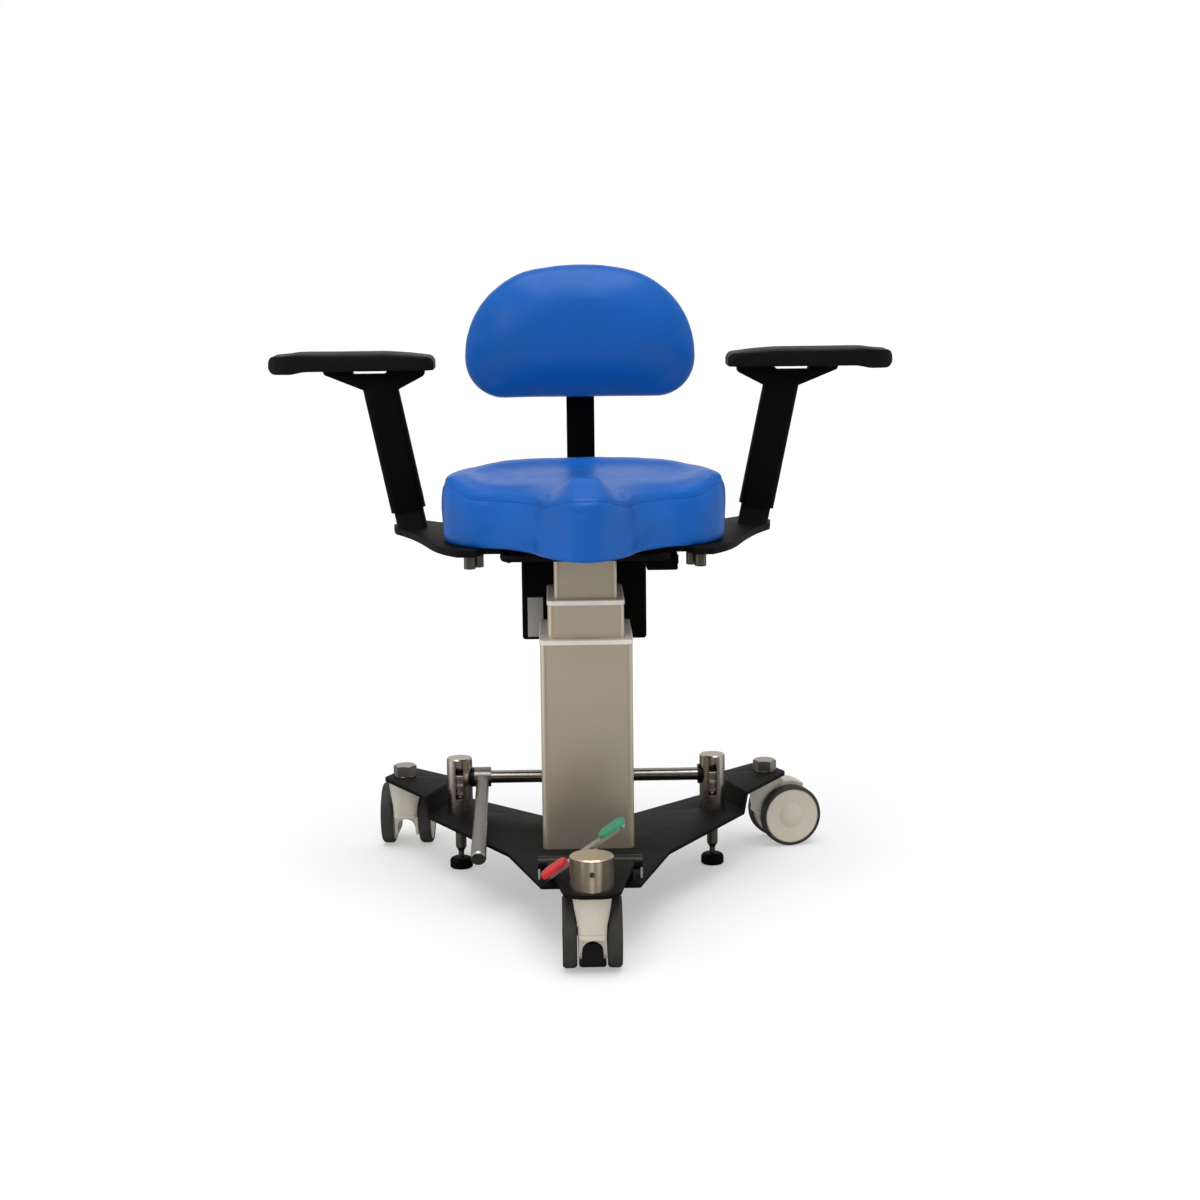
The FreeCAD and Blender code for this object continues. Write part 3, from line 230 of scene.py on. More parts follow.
class Finish:
    """A procedural material on Object coordinates, built up from a few kinds of detail."""

    def __init__(self, name, colour, roughness, metallic=0.0, **sockets):
        self.material = bpy.data.materials.new(name)
        self.material.use_nodes = True
        self.tree = self.material.node_tree
        self.shader = self.tree.nodes["Principled BSDF"]
        self.colour = (*colour, 1.0)
        self.shader.inputs["Base Color"].default_value = self.colour
        self.shader.inputs["Roughness"].default_value = roughness
        self.shader.inputs["Metallic"].default_value = metallic
        for socket, value in sockets.items():
            self.shader.inputs[socket.replace("_", " ")].default_value = value
        self.place = self.tree.nodes.new("ShaderNodeTexCoord").outputs["Object"]
        self.normal = None

    def node(self, kind, **settings):
        """Add a node and set its properties or input values."""
        made = self.tree.nodes.new(kind)
        for key, value in settings.items():
            if key in made.inputs:
                made.inputs[key].default_value = value
            else:
                setattr(made, key, value)
        return made

    def stretched(self, scale):
        """Object coordinates scaled differently along each axis."""
        mapping = self.node("ShaderNodeMapping")
        mapping.inputs["Scale"].default_value = scale
        self.tree.links.new(self.place, mapping.inputs["Vector"])
        return mapping.outputs["Vector"]

    def noise(self, scale, detail=3.0, stretch=(1, 1, 1)):
        """Noise of so many features per metre."""
        texture = self.node("ShaderNodeTexNoise", Scale=scale, Detail=detail)
        self.tree.links.new(self.stretched(stretch), texture.inputs["Vector"])
        return texture.outputs["Fac"]

    def cells(self, scale):
        """Cell pattern of so many cells per metre."""
        texture = self.node("ShaderNodeTexVoronoi", Scale=scale)
        self.tree.links.new(self.place, texture.inputs["Vector"])
        return texture.outputs["Distance"]

    def spread(self, factor, low, high, out_low, out_high):
        """Map a texture's range to another."""
        made = self.node("ShaderNodeMapRange")
        made.inputs["From Min"].default_value = low
        made.inputs["From Max"].default_value = high
        made.inputs["To Min"].default_value = out_low
        made.inputs["To Max"].default_value = out_high
        self.tree.links.new(factor, made.inputs["Value"])
        return made.outputs["Result"]

    def tint(self, factor, other, low=0.35, high=0.65):
        """Mix the base colour towards another where the texture is high."""
        mix = self.node("ShaderNodeMix", data_type="RGBA")
        source = self.shader.inputs["Base Color"]
        mix.inputs[6].default_value = self.colour
        mix.inputs[7].default_value = (*other, 1.0)
        if source.is_linked:
            self.tree.links.new(source.links[0].from_socket, mix.inputs[6])
        self.tree.links.new(self.spread(factor, low, high, 0.0, 1.0), mix.inputs[0])
        self.tree.links.new(mix.outputs[2], source)
        return self

    def gloss(self, factor, low, high):
        """Vary roughness between two values with a texture."""
        varied = self.spread(factor, 0.3, 0.7, low, high)
        self.tree.links.new(varied, self.shader.inputs["Roughness"])
        return self

    def relief(self, factor, strength, distance):
        """Add a bump layer."""
        bump = self.node("ShaderNodeBump", Strength=strength, Distance=distance)
        self.tree.links.new(factor, bump.inputs["Height"])
        if self.normal:
            self.tree.links.new(self.normal, bump.inputs["Normal"])
        self.normal = bump.outputs["Normal"]
        self.tree.links.new(self.normal, self.shader.inputs["Normal"])
        return self


def shaded(colour, share, lift=0.0):
    """A colour made darker or paler by a share of itself, then lifted."""
    return tuple(channel * share + lift for channel in colour)


def powder_coat(name, colour, roughness=0.6, specular=0.16):
    """Fine-textured powder coat, a little paler where it has been rubbed."""
    finish = Finish(name, colour, roughness, Specular_IOR_Level=specular)
    finish.tint(finish.noise(45, 2), shaded(colour, 1.08, 0.0001), 0.45, 0.8)
    finish.gloss(finish.noise(60, 3), roughness - 0.02, roughness + 0.02)
    return finish.relief(finish.noise(2600, 2), 0.14, 0.0004)


def anodised(name, colour):
    """Satin anodised extrusion with very faint lines along its length."""
    finish = Finish(name, colour, 0.34, metallic=0.8)
    lines = finish.noise(1, 2, (420, 420, 1.5))
    finish.tint(lines, shaded(colour, 0.965), 0.3, 0.7)
    finish.tint(finish.noise(3, 2), shaded(colour, 0.95))
    finish.gloss(finish.noise(8, 3), 0.31, 0.37)
    return finish.relief(lines, 0.012, 0.0002)


def turned_steel(name, colour, roughness, stretch, marked=0.012):
    """Turned or drawn steel with fine tool marks, duller in places and matt on flat tops."""
    finish = Finish(name, colour, roughness, metallic=1.0)
    marks = finish.noise(1, 3, stretch)
    finish.tint(finish.noise(9, 3), shaded(colour, 0.86), 0.4, 0.8)
    finish.tint(marks, shaded(colour, 0.93))
    facing = finish.node("ShaderNodeTexCoord").outputs["Normal"]
    upward = finish.node("ShaderNodeSeparateXYZ")
    finish.tree.links.new(facing, upward.inputs["Vector"])
    flat = finish.spread(upward.outputs["Z"], 0.8, 0.97, 0.0, 0.3)
    rough = finish.node("ShaderNodeMath", operation="ADD")
    finish.tree.links.new(flat, rough.inputs[0])
    worn = finish.spread(marks, 0.3, 0.7, roughness - 0.04, roughness + 0.06)
    finish.tree.links.new(worn, rough.inputs[1])
    finish.tree.links.new(rough.outputs[0], finish.shader.inputs["Roughness"])
    return finish.relief(marks, marked, 0.0003)


def moulded(name, colour, roughness, grain=1700, strength=0.12, specular=0.4):
    """Moulded plastic with a spark-eroded grain and slight colour drift."""
    finish = Finish(name, colour, roughness, Specular_IOR_Level=specular)
    finish.tint(finish.noise(11, 3), shaded(colour, 0.9))
    finish.gloss(finish.noise(45, 3), roughness - 0.05, roughness + 0.06)
    return finish.relief(finish.noise(grain, 2), strength, 0.0004)


def artificial_leather(name, colour):
    """Upholstery leatherette: fine pebble grain, satin film, slightly deeper in places."""
    finish = Finish(name, colour, 0.34, Specular_IOR_Level=0.24)
    finish.tint(finish.noise(6, 3), shaded(colour, 0.9))
    finish.gloss(finish.noise(60, 3), 0.31, 0.38)
    finish.relief(finish.cells(1150), 0.12, 0.0005)
    return finish.relief(finish.noise(260, 3), 0.05, 0.0006)


def soft_rubber(name, colour, roughness=0.62, specular=0.25):
    """Rubber with a dusty, uneven surface."""
    finish = Finish(name, colour, roughness, Specular_IOR_Level=specular)
    finish.tint(finish.noise(35, 4), shaded(colour, 1.4, 0.002), 0.45, 0.8)
    finish.gloss(finish.noise(80, 3), roughness - 0.08, roughness + 0.1)
    return finish.relief(finish.noise(1400, 3), 0.15, 0.0005)


def plywood(name, colour):
    """Birch plywood with straight grain."""
    finish = Finish(name, colour, 0.6)
    grain = finish.noise(1, 4, (160, 6, 160))
    finish.tint(grain, shaded(colour, 0.6))
    return finish.relief(grain, 0.1, 0.0005)


BLACK_SHEET = powder_coat("black_powder_coat", (0.0042, 0.0040, 0.0038), 0.6, 0.11)
BAR_COAT = powder_coat("bar_black_coat", (0.003, 0.003, 0.0031), 0.38, 0.3)
BLACK_STEEL = powder_coat("back_bar_coat", (0.0016, 0.0016, 0.0017), 0.6, 0.05)
LUG_PAINT = powder_coat("lug_grey_paint", (0.38, 0.36, 0.33))
STAINLESS = turned_steel("turned_stainless", (0.74, 0.665, 0.575), 0.22, (4, 4, 1500), 0.004)
SOCKET_STEEL = turned_steel("socket_stainless", (0.80, 0.67, 0.50), 0.2, (4, 4, 1500), 0.004)
DRAWN_STEEL = turned_steel("drawn_stainless", (0.56, 0.52, 0.45), 0.22, (30, 900, 900))
LEVER_SATIN = turned_steel("lever_satin", (0.40, 0.375, 0.34), 0.3, (300, 300, 12))
POLISHED = turned_steel("polished_steel", (0.80, 0.77, 0.72), 0.16, (500, 500, 500))
ZINC = turned_steel("zinc_plated", (0.56, 0.52, 0.455), 0.36, (400, 400, 400))
SCREW_STEEL = turned_steel("screw_steel", (0.17, 0.16, 0.14), 0.34, (700, 700, 60))
COLUMN_SATIN = anodised("column_anodised", (0.81, 0.695, 0.545))
# painted shade: the inner stage is a darker copy of the column's anodising, standing in for the
# shade under the seat
SHADED_INNER_SATIN = anodised("inner_column_anodised_painted_shade", (0.70, 0.60, 0.47))
RIM_PLASTIC = moulded("rim_light_plastic", (0.80, 0.77, 0.70), 0.42)
CASTOR_PLASTIC = moulded("castor_warm_grey", (0.60, 0.545, 0.455), 0.33)
TREAD = soft_rubber("castor_tread", (0.036, 0.035, 0.032))
FOOT_RUBBER = soft_rubber("foot_rubber", (0.003, 0.003, 0.003), 0.6, 0.1)
BLACK_PLASTIC = moulded("black_moulded", (0.0022, 0.0022, 0.0022), 0.55, specular=0.08)
SATIN_BLACK = moulded("satin_black_moulded", (0.010, 0.010, 0.0105), 0.42, specular=0.4)
PAD_SKIN = moulded("pad_black_skin", (0.0042, 0.0041, 0.0039), 0.5, 900, 0.2, specular=0.17)
BUSH_PLASTIC = moulded("bush_black", (0.005, 0.005, 0.005), 0.42, specular=0.25)
LOCK_PLASTIC = moulded("lock_charcoal", (0.010, 0.0098, 0.0095), 0.5, specular=0.25)
PEDAL_RED = moulded("pedal_red", (0.55, 0.022, 0.026), 0.42, specular=0.2)
PEDAL_GREEN = moulded("pedal_green", (0.045, 0.26, 0.14), 0.42, specular=0.25)
PEDAL_STEEL = turned_steel("pedal_steel", (0.6, 0.55, 0.48), 0.34, (500, 40, 500))
GLIDE = moulded("glide_white", (0.7, 0.7, 0.68), 0.5)
MOTOR = powder_coat("motor_grey", (0.05, 0.05, 0.055))
LEATHERETTE = artificial_leather("blue_leatherette", (0.0030, 0.108, 0.46))
# painted shade: the welt is the leatherette made slightly darker, so the seam reads as a shaded
# line
SHADED_WELT = artificial_leather("blue_welt_painted_shade", (0.0026, 0.098, 0.42))
BOARD = plywood("board_birch", (0.5, 0.36, 0.2))
PLATE_FACE = moulded("plate_pale", (0.40, 0.39, 0.36), 0.5)

NODE_FINISH = {
    BLACK_SHEET: ["base_plate", "front_tongue", "seat_frame", "arm_bracket_left",
                  "arm_bracket_right"],
    BLACK_STEEL: ["back_bar"],
    BAR_COAT: ["front_bar"],
    LUG_PAINT: ["bar_lugs"],
    STAINLESS: ["brake_post_left", "brake_post_right", "brake_rod_left", "brake_rod_right"],
    SOCKET_STEEL: ["stem_socket"],
    DRAWN_STEEL: ["brake_shaft"],
    LEVER_SATIN: ["brake_lever"],
    POLISHED: ["brake_cams"],
    ZINC: ["castor_stems", "stem_bolts", "lift_ram", "lift_guide"],
    SCREW_STEEL: ["wing_bolts"],
    COLUMN_SATIN: ["column_outer", "column_middle"],
    SHADED_INNER_SATIN: ["column_inner"],
    RIM_PLASTIC: ["column_outer_rim", "column_middle_rim"],
    GLIDE: ["middle_glides", "inner_glides"],
    MOTOR: ["lift_motor"],
    BUSH_PLASTIC: ["post_bushes"],
    BLACK_PLASTIC: ["arm_sleeve_left", "arm_sleeve_right", "battery_box", "control_box"],
    SATIN_BLACK: ["arm_button_left", "arm_button_right", "lift_rocker", "back_carriage",
                  "back_knob", "back_board"],
    FOOT_RUBBER: ["brake_pad_left", "brake_pad_right"],
    PEDAL_STEEL: ["pedal_bar"],
    PEDAL_RED: ["pedal_pad_lock"],
    PEDAL_GREEN: ["pedal_pad_free"],
    LEATHERETTE: ["seat_cushion", "back_cushion"],
    BOARD: ["seat_board"],
    PAD_SKIN: ["arm_pad_left", "arm_pad_right"],
    LOCK_PLASTIC: ["castor_lock"],
    CASTOR_PLASTIC: ["castor_hood_front", "castor_hood_left", "castor_hood_right",
                     "castor_wheels_front", "castor_wheels_left", "castor_wheels_right"],
    TREAD: ["castor_treads_front", "castor_treads_left", "castor_treads_right"],
}


def dress(piece, finish):
    """Give a piece one finish."""
    piece.data.materials.clear()
    piece.data.materials.append(finish.material)
    return piece


def dress_frame():
    """Finish every carried-over CAD node."""
    for finish, nodes in NODE_FINISH.items():
        for node in nodes:
            dress(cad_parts[node], finish)


# Upholstery

def copied(node, name):
    """A merged copy of a CAD node's mesh as a piece of its own."""
    piece = bpy.data.objects.new(name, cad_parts[node].data.copy())
    piece.data.name = name
    bpy.context.scene.collection.objects.link(piece)
    pick(piece)
    bpy.ops.object.mode_set(mode="EDIT")
    bpy.ops.mesh.select_all(action="SELECT")
    bpy.ops.mesh.remove_doubles(threshold=MERGE)
    bpy.ops.mesh.normals_make_consistent(inside=False)
    bpy.ops.object.mode_set(mode="OBJECT")
    return piece


def evened(piece, moves, rounds):
    """Average moves over neighbouring points of the skin."""
    pairs = np.empty(len(piece.data.edges) * 2, dtype=np.int32)
    piece.data.edges.foreach_get("vertices", pairs)
    first, second = pairs.reshape(-1, 2).T
    count = np.bincount(pairs, minlength=len(moves))[:, None]
    for _ in range(rounds):
        total = np.zeros_like(moves)
        np.add.at(total, first, moves[second])
        np.add.at(total, second, moves[first])
        moves = (moves + total / count) / 2
    return moves


def filled(piece, held, cap, wrinkle):
    """Blow the skin out as cloth under pressure, and keep a share of its wrinkles."""
    before = coordinates(piece)
    pins = piece.vertex_groups.new(name="held")
    pins.add([k for k, point in enumerate(before) if held(point)], 1.0, "REPLACE")
    cloth = piece.modifiers.new("Filling", "CLOTH")
    cloth.settings.use_pressure = True
    cloth.settings.uniform_pressure_force = FILL_PRESSURE
    cloth.settings.effector_weights.gravity = 0.0
    cloth.settings.vertex_group_mass = pins.name
    cloth.settings.quality = 6
    cloth.point_cache.frame_start = 1
    cloth.point_cache.frame_end = FILL_FRAMES
    for step in range(1, FILL_FRAMES + 1):
        bpy.context.scene.frame_set(step)
    bpy.ops.object.modifier_apply(modifier=cloth.name)
    bpy.context.scene.frame_set(1)
    move = coordinates(piece) - before
    length = np.linalg.norm(move, axis=1, keepdims=True)
    move *= np.minimum(1.0, cap / np.maximum(length, 1e-9))
    broad = evened(piece, move, BROAD_ROUNDS)
    set_coordinates(piece, before + broad + (move - broad) * wrinkle)
    piece.vertex_groups.clear()


def stuffed(piece, voxel, tuck, cap, held, smooth, wrinkle):
    """Turn a solid into a filled cushion.

    The skin is evened, softened except where it is held, and then filled as cloth under pressure.
    """
    pick(piece)
    bpy.ops.object.mode_set(mode="EDIT")
    bpy.ops.mesh.select_all(action="SELECT")
    bpy.ops.transform.shrink_fatten(value=-tuck)
    bpy.ops.object.mode_set(mode="OBJECT")
    piece.data.remesh_voxel_size = voxel
    bpy.ops.object.voxel_remesh()
    sharp = coordinates(piece)
    apply_modifier(piece, "SMOOTH", factor=0.5, iterations=smooth)
    foot = np.array([[float(held(point))] for point in sharp])
    foot = evened(piece, foot, rounds=3)
    set_coordinates(piece, coordinates(piece) * (1 - foot) + sharp * foot)
    filled(piece, held, cap, wrinkle)
    apply_modifier(piece, "SUBSURF", levels=1, render_levels=1)
    bpy.ops.object.shade_smooth()
    return piece


def set_down(piece, floor, depth):
    """Stretch the lowest part of a cushion down to what it rests on."""
    places = coordinates(piece)
    gap = places[:, 2].min() - floor
    rise = np.clip((places[:, 2] - floor - gap) / depth, 0, 1)
    places[:, 2] -= gap * (1 - rise * rise * (3 - 2 * rise))
    set_coordinates(piece, places)


def smooth_step(value):
    """Ease from 0 to 1 as the value goes from 0 to 1."""
    held = min(1.0, max(0.0, value))
    return held * held * (3 - 2 * held)


def skin(piece):
    """The piece's surface as a tree that rays can be cast at."""
    return BVHTree.FromPolygons([vertex.co for vertex in piece.data.vertices],
                                [face.vertices for face in piece.data.polygons])


def drawn_in(piece, points, depth, width):
    """Pull the skin in along a line, as stitches do."""
    tree = KDTree(len(points))
    for index, point in enumerate(points):
        tree.insert(point, index)
    tree.balance()
    places = coordinates(piece)
    for vertex in piece.data.vertices:
        away = tree.find(vertex.co)[2]
        if away < 3 * width:
            places[vertex.index] -= np.array(vertex.normal) * depth * math.exp(-(away / width) ** 2)
    set_coordinates(piece, places)


def uneven(piece, size, height):
    """Raise and lower the skin very slightly, as foam under a cover does."""
    places = coordinates(piece)
    for vertex in piece.data.vertices:
        places[vertex.index] += np.array(vertex.normal) * height * noise.noise(vertex.co / size)
    set_coordinates(piece, places)


def welt(name, points, radius, body):
    """Closed sewn welt along a line of points."""
    curve = bpy.data.curves.new(name, "CURVE")
    curve.dimensions = "3D"
    curve.bevel_depth = radius
    curve.bevel_resolution = 3
    line = curve.splines.new("POLY")
    line.points.add(len(points) - 1)
    for target, point in zip(line.points, points):
        target.co = (*point, 1.0)
    line.use_cyclic_u = True
    piece = bpy.data.objects.new(name, curve)
    bpy.context.scene.collection.objects.link(piece)
    pick(piece)
    bpy.ops.object.convert(target="MESH")
    piece = named(name)
    bpy.ops.object.shade_smooth()
    dress(piece, SHADED_WELT)
    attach(piece, body)
    return piece


def seat_seam_height(y):
    """Height of the seam round the seat: low along the legs, higher at the nose, sides and rear."""
    side = smooth_step((y - COLUMN_Y + 0.075) / 0.06)
    nose = smooth_step((COLUMN_Y - 0.165 - y) / 0.075) * (1 - side)
    return SEAM_LOW + SEAM_SIDE_RISE * side + SEAM_NOSE_RISE * nose


def seat_seam_line(seat, sink):
    """Points all round the seat on its seam, a little under the skin."""
    tree = skin(seat)
    middle = Vector((0, COLUMN_Y - 0.010, 0))
    line = []
    for step in range(SEAM_POINTS):
        turn = 2 * math.pi * step / SEAM_POINTS
        way = Vector((math.cos(turn), math.sin(turn), 0))
        height = 0.61          # a first guess
        for _ in range(3):
            start = middle + way * 0.6 + Vector((0, 0, height))
            place, normal = tree.ray_cast(start, -way)[:2]
            height = seat_seam_height(place.y)
        line.append(place - normal * sink)
    return line


def broad_pommel(seat):
    """Fill out the pommel to a mound with a broad top and steep flanks."""
    places = coordinates(seat)
    for place in places:
        x, y, z = place
        across = smooth_step((POMMEL_FOOT - abs(x)) / POMMEL_FLANK)
        across -= math.exp(-(x / POMMEL_FLANK) ** 2)
        along = math.exp(-((y - COLUMN_Y + POMMEL_AHEAD) / POMMEL_LENGTH) ** 2)
        place[2] += POMMEL_RISE * across * along * smooth_step((z - SEAT_TOP_Z) / 0.012)
    set_coordinates(seat, places)


def even_rear_rim(seat):
    """Bring the rear rim to one long arch that falls away towards the sides."""
    places = coordinates(seat)
    for place in places:
        x, y, z = place
        rise = RIM_RISE - RIM_FALL * smooth_step((abs(x) - 0.12) / 0.05)
        rear = smooth_step((y - COLUMN_Y) / 0.09)
        place[2] += rise * rear * smooth_step((z - SEAT_TOP_Z) / 0.015)
    set_coordinates(seat, places)


def nose_fold_line(seat):
    """Points of the slack fold across the front of the nose."""
    tree = skin(seat)
    line = []
    for step in range(61):
        x = NOSE_FOLD_HALF * (step / 30 - 1)
        start = Vector((x, -0.6, NOSE_FOLD_Z - 6 * x * x))
        line.append(tree.ray_cast(start, Vector((0, 1, 0)))[0])
    return line


def seat_upholstery():
    """Seat cushion stretched over its board, with a sewn seam round its top panel."""
    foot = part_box("seat_cushion")[0].z
    seat = copied("seat_cushion", "seat_upholstery")
    stuffed(seat, voxel=0.0055, tuck=0.0012, cap=0.006, held=lambda p: p[2] < foot + 0.014,
            smooth=4, wrinkle=0.12)
    set_down(seat, foot, depth=0.04)
    broad_pommel(seat)
    even_rear_rim(seat)
    uneven(seat, size=0.06, height=0.0005)
    drawn_in(seat, seat_seam_line(seat, 0.0), SEAM_DEPTH, SEAM_WIDTH)
    drawn_in(seat, nose_fold_line(seat), depth=0.0013, width=0.005)
    welt("seat_welt", seat_seam_line(seat, WELT_SINK), WELT_RADIUS, "seat")
    dress(seat, LEATHERETTE)
    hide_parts("seat_cushion")
    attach(seat, "seat")


def back_seam_line(back, depth, sink):
    """Points all round the backrest's wall at one depth."""
    tree = skin(back)
    low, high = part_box("back_cushion")
    middle = Vector((0, depth, (low.z + high.z) / 2 - 0.01))
    line = []
    for step in range(SEAM_POINTS):
        turn = 2 * math.pi * step / SEAM_POINTS
        way = Vector((math.cos(turn), 0, math.sin(turn)))
        place, normal = tree.ray_cast(middle + way * 0.5, -way)[:2]
        line.append(place - normal * sink)
    return line


def domed_face(back, low, high, rise):
    """Fill out the backrest's face towards its middle."""
    middle = (low + high) / 2
    half = (high - low) / 2
    places = coordinates(back)
    for place in places:
        x, y, z = place
        edge = ((x - middle.x) / half.x) ** 2 + ((z - middle.z) / half.z) ** 2
        place[1] -= rise * max(0.0, 1 - edge) * smooth_step((high.y - 0.018 - y) / 0.025)
    set_coordinates(back, places)


def back_upholstery():
    """Backrest cushion on its rear board, with a seam round its wall."""
    low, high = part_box("back_cushion")
    back = copied("back_cushion", "back_upholstery")
    stuffed(back, voxel=0.005, tuck=0.0012, cap=0.006, held=lambda p: p[1] > high.y - 0.006,
            smooth=5, wrinkle=0.1)
    domed_face(back, low, high, BACK_RISE)
    uneven(back, size=0.05, height=0.0004)
    depth = high.y - 0.013
    drawn_in(back, back_seam_line(back, depth, 0.0), SEAM_DEPTH, SEAM_WIDTH)
    welt("back_welt", back_seam_line(back, depth, WELT_SINK), WELT_RADIUS, "backrest")
    dress(back, LEATHERETTE)
    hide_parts("back_cushion")
    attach(back, "backrest")


def blunt_ends(pad, top):
    """Fill out a pad's ends: full height at the outer one, upright at the inner one."""
    places = coordinates(pad)
    out = math.copysign(1.0, places[:, 0].mean())
    near, far = np.abs(places[:, 0]).min(), np.abs(places[:, 0]).max()
    middle = (places[:, 2].min() + top) / 2
    for place in places:
        reach = place[0] * out
        raised = smooth_step((reach - far + 0.045) / 0.030)
        raised *= smooth_step((place[2] - middle + 0.004) / 0.010)
        rounded = 1 - 0.55 * smooth_step((reach - far + 0.008) / 0.008)
        place[2] += (top - place[2]) * 0.85 * raised * rounded
        gap = reach - near
        low = (1 - smooth_step((place[2] - middle) / 0.006)) * (1 - smooth_step(gap / 0.012))
        place[0] = out * (near + gap * (1 - 0.75 * low))
    set_coordinates(pad, places)


def arm_rest(side):
    """Soft skinned arm pad."""
    node = "arm_pad_" + side
    low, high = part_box(node)
    pad = copied(node, node + "_skin")
    stuffed(pad, voxel=0.004, tuck=0.0006, cap=0.003, held=lambda p: p[2] < low.z + 0.008,
            smooth=1, wrinkle=0.0)
    blunt_ends(pad, high.z - PAD_TOP_DROP)
    dress(pad, PAD_SKIN)
    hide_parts(node)
    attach(pad, "arm_" + side)


# Fittings

def eased(node, body, slot, edge):
    """A CAD piece with its sharp edges broken."""
    piece = copied(node, node + "_eased")
    bpy.ops.object.mode_set(mode="EDIT")
    bpy.ops.mesh.select_all(action="SELECT")
    bpy.ops.mesh.dissolve_limited(angle_limit=math.radians(0.5))
    bpy.ops.object.mode_set(mode="OBJECT")
    apply_modifier(piece, "BEVEL", width=edge, segments=2, limit_method="ANGLE",
                   angle_limit=math.radians(38))
    settle(piece, 38)
    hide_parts(node)
    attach(piece, body)


def castor_shell(name, stem, trail):
    """Moulded castor hood with soft edges and a parting line above its arch."""
    node = "castor_hood_" + name
    shell = copied(node, node + "_shell")
    shell.data.remesh_voxel_size = 0.0012
    bpy.ops.object.voxel_remesh()
    apply_modifier(shell, "SMOOTH", factor=0.5, iterations=3)
    bpy.ops.object.shade_smooth()
    tree = skin(shell)
    turn = Matrix.Rotation(math.radians(trail), 3, "Z")
    line = []
    for step in range(41):
        start = Vector(stem) + turn @ Vector((PARTING_HALF * (step / 20 - 1), -0.1, PARTING_Z))
        line.append(tree.ray_cast(start, turn @ Vector((0, 1, 0)))[0])
    drawn_in(shell, [point for point in line if point], depth=0.0015, width=0.0014)
    dress(shell, CASTOR_PLASTIC)
    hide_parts(node)
    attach(shell, "castor_" + name)


def rounded_block(name, low, high, edge, segments=3):
    """A block between two corners with rounded edges."""
    deselect()
    middle = (Vector(low) + Vector(high)) / 2
    bpy.ops.mesh.primitive_cube_add(size=1, location=middle)
    piece = named(name)
    piece.scale = Vector(high) - Vector(low)
    bpy.ops.object.transform_apply(location=True, rotation=True, scale=True)
    bpy.ops.object.mode_set(mode="EDIT")
    bpy.ops.mesh.select_all(action="SELECT")
    bpy.ops.mesh.bevel(offset=edge, segments=segments, affect="EDGES")
    bpy.ops.object.mode_set(mode="OBJECT")
    return settle(piece)


def upright_cylinder(name, sides, radius, height):
    """Cylinder that stands on z = 0, left in edit mode with its top face selected."""
    deselect()
    bpy.ops.mesh.primitive_cylinder_add(vertices=sides, radius=radius, depth=height,
                                        location=(0, 0, height / 2))
    piece = named(name)
    bpy.ops.object.transform_apply(location=True, rotation=True, scale=True)
    bpy.ops.object.mode_set(mode="EDIT")
    select_where(piece, lambda p: p.z > height - HAIR, "FACE")
    return piece


def hexagon_reach(place, flats):
    """How far a hexagon's side is from its centre, on the bearing of a point."""
    off = (math.atan2(place[1], place[0]) + math.pi / 6) % (math.pi / 3) - math.pi / 6
    return flats / 2 / math.cos(off)


def socket_screw(name, radius, height, flats):
    """Round screw with a hexagon socket, upright on z = 0."""
    piece = upright_cylinder(name, 48, radius, height)
    sunk = min(height * 0.6, flats)
    bpy.ops.mesh.inset(thickness=radius - flats * 0.55)
    bpy.ops.mesh.extrude_region_move(TRANSFORM_OT_translate={"value": (0, 0, -sunk)})
    select_where(piece, lambda p: p.z > height - HAIR and p.xy.length > radius * 0.98, "EDGE")
    bpy.ops.mesh.bevel(offset=radius * 0.1, segments=3, affect="EDGES")
    bpy.ops.object.mode_set(mode="OBJECT")
    places = coordinates(piece)
    for place in places:
        reach = math.hypot(place[0], place[1])
        if reach < flats * 0.6:
            place[:2] *= hexagon_reach(place, flats) / reach
    set_coordinates(piece, places)
    return piece


def bolt_head(name, flats, height):
    """Hexagon bolt head with a chamfered crown, upright on z = 0."""
    piece = upright_cylinder(name, 72, flats / 2, height)
    bpy.ops.mesh.inset(thickness=flats * 0.03)
    bpy.ops.mesh.inset(thickness=flats * 0.12)
    bpy.ops.object.mode_set(mode="OBJECT")
    places = coordinates(piece)
    for place in places:
        reach = math.hypot(place[0], place[1])
        if reach > flats * 0.49:
            corner = hexagon_reach(place, flats)
            place[:2] *= corner / reach
            if place[2] > height / 2:
                place[2] -= (corner - flats * 0.47) * 0.5
        elif reach < flats * 0.4:
            place[2] -= height * 0.03
    set_coordinates(piece, places)
    return piece


def joined(name, pieces):
    """Several pieces as one."""
    pick(pieces[0])
    for piece in pieces[1:]:
        piece.select_set(True)
    bpy.ops.object.join()
    return named(name)


def stood(piece, place, turn=None):
    """Move a finished piece to its place, turned first where asked."""
    if turn:
        piece.rotation_euler = turn
    piece.location = place
    return settle(piece)


def stem_bolt_heads():
    """Chamfered hexagon heads over the two rear castor stems, each on its washer."""
    low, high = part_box("stem_bolts")
    across = (low.y + high.y) / 2
    made = []
    for side in (-1, 1):
        washer = socket_screw("stem_washer", BOLT_FLATS / 2 - 0.0002, 0.0016, 0.02)
        made.append(stood(washer, (side * STEM_X, across, low.z)))
        head = bolt_head("stem_bolt_head", BOLT_FLATS, high.z - low.z - WASHER)
        place = (side * STEM_X, across, low.z + WASHER)
        made.append(stood(head, place, (0, 0, math.radians(BOLT_TURN))))
    heads = joined("stem_bolt_heads", made)
    dress(heads, ZINC)
    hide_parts("stem_bolts")
    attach(heads, "base")


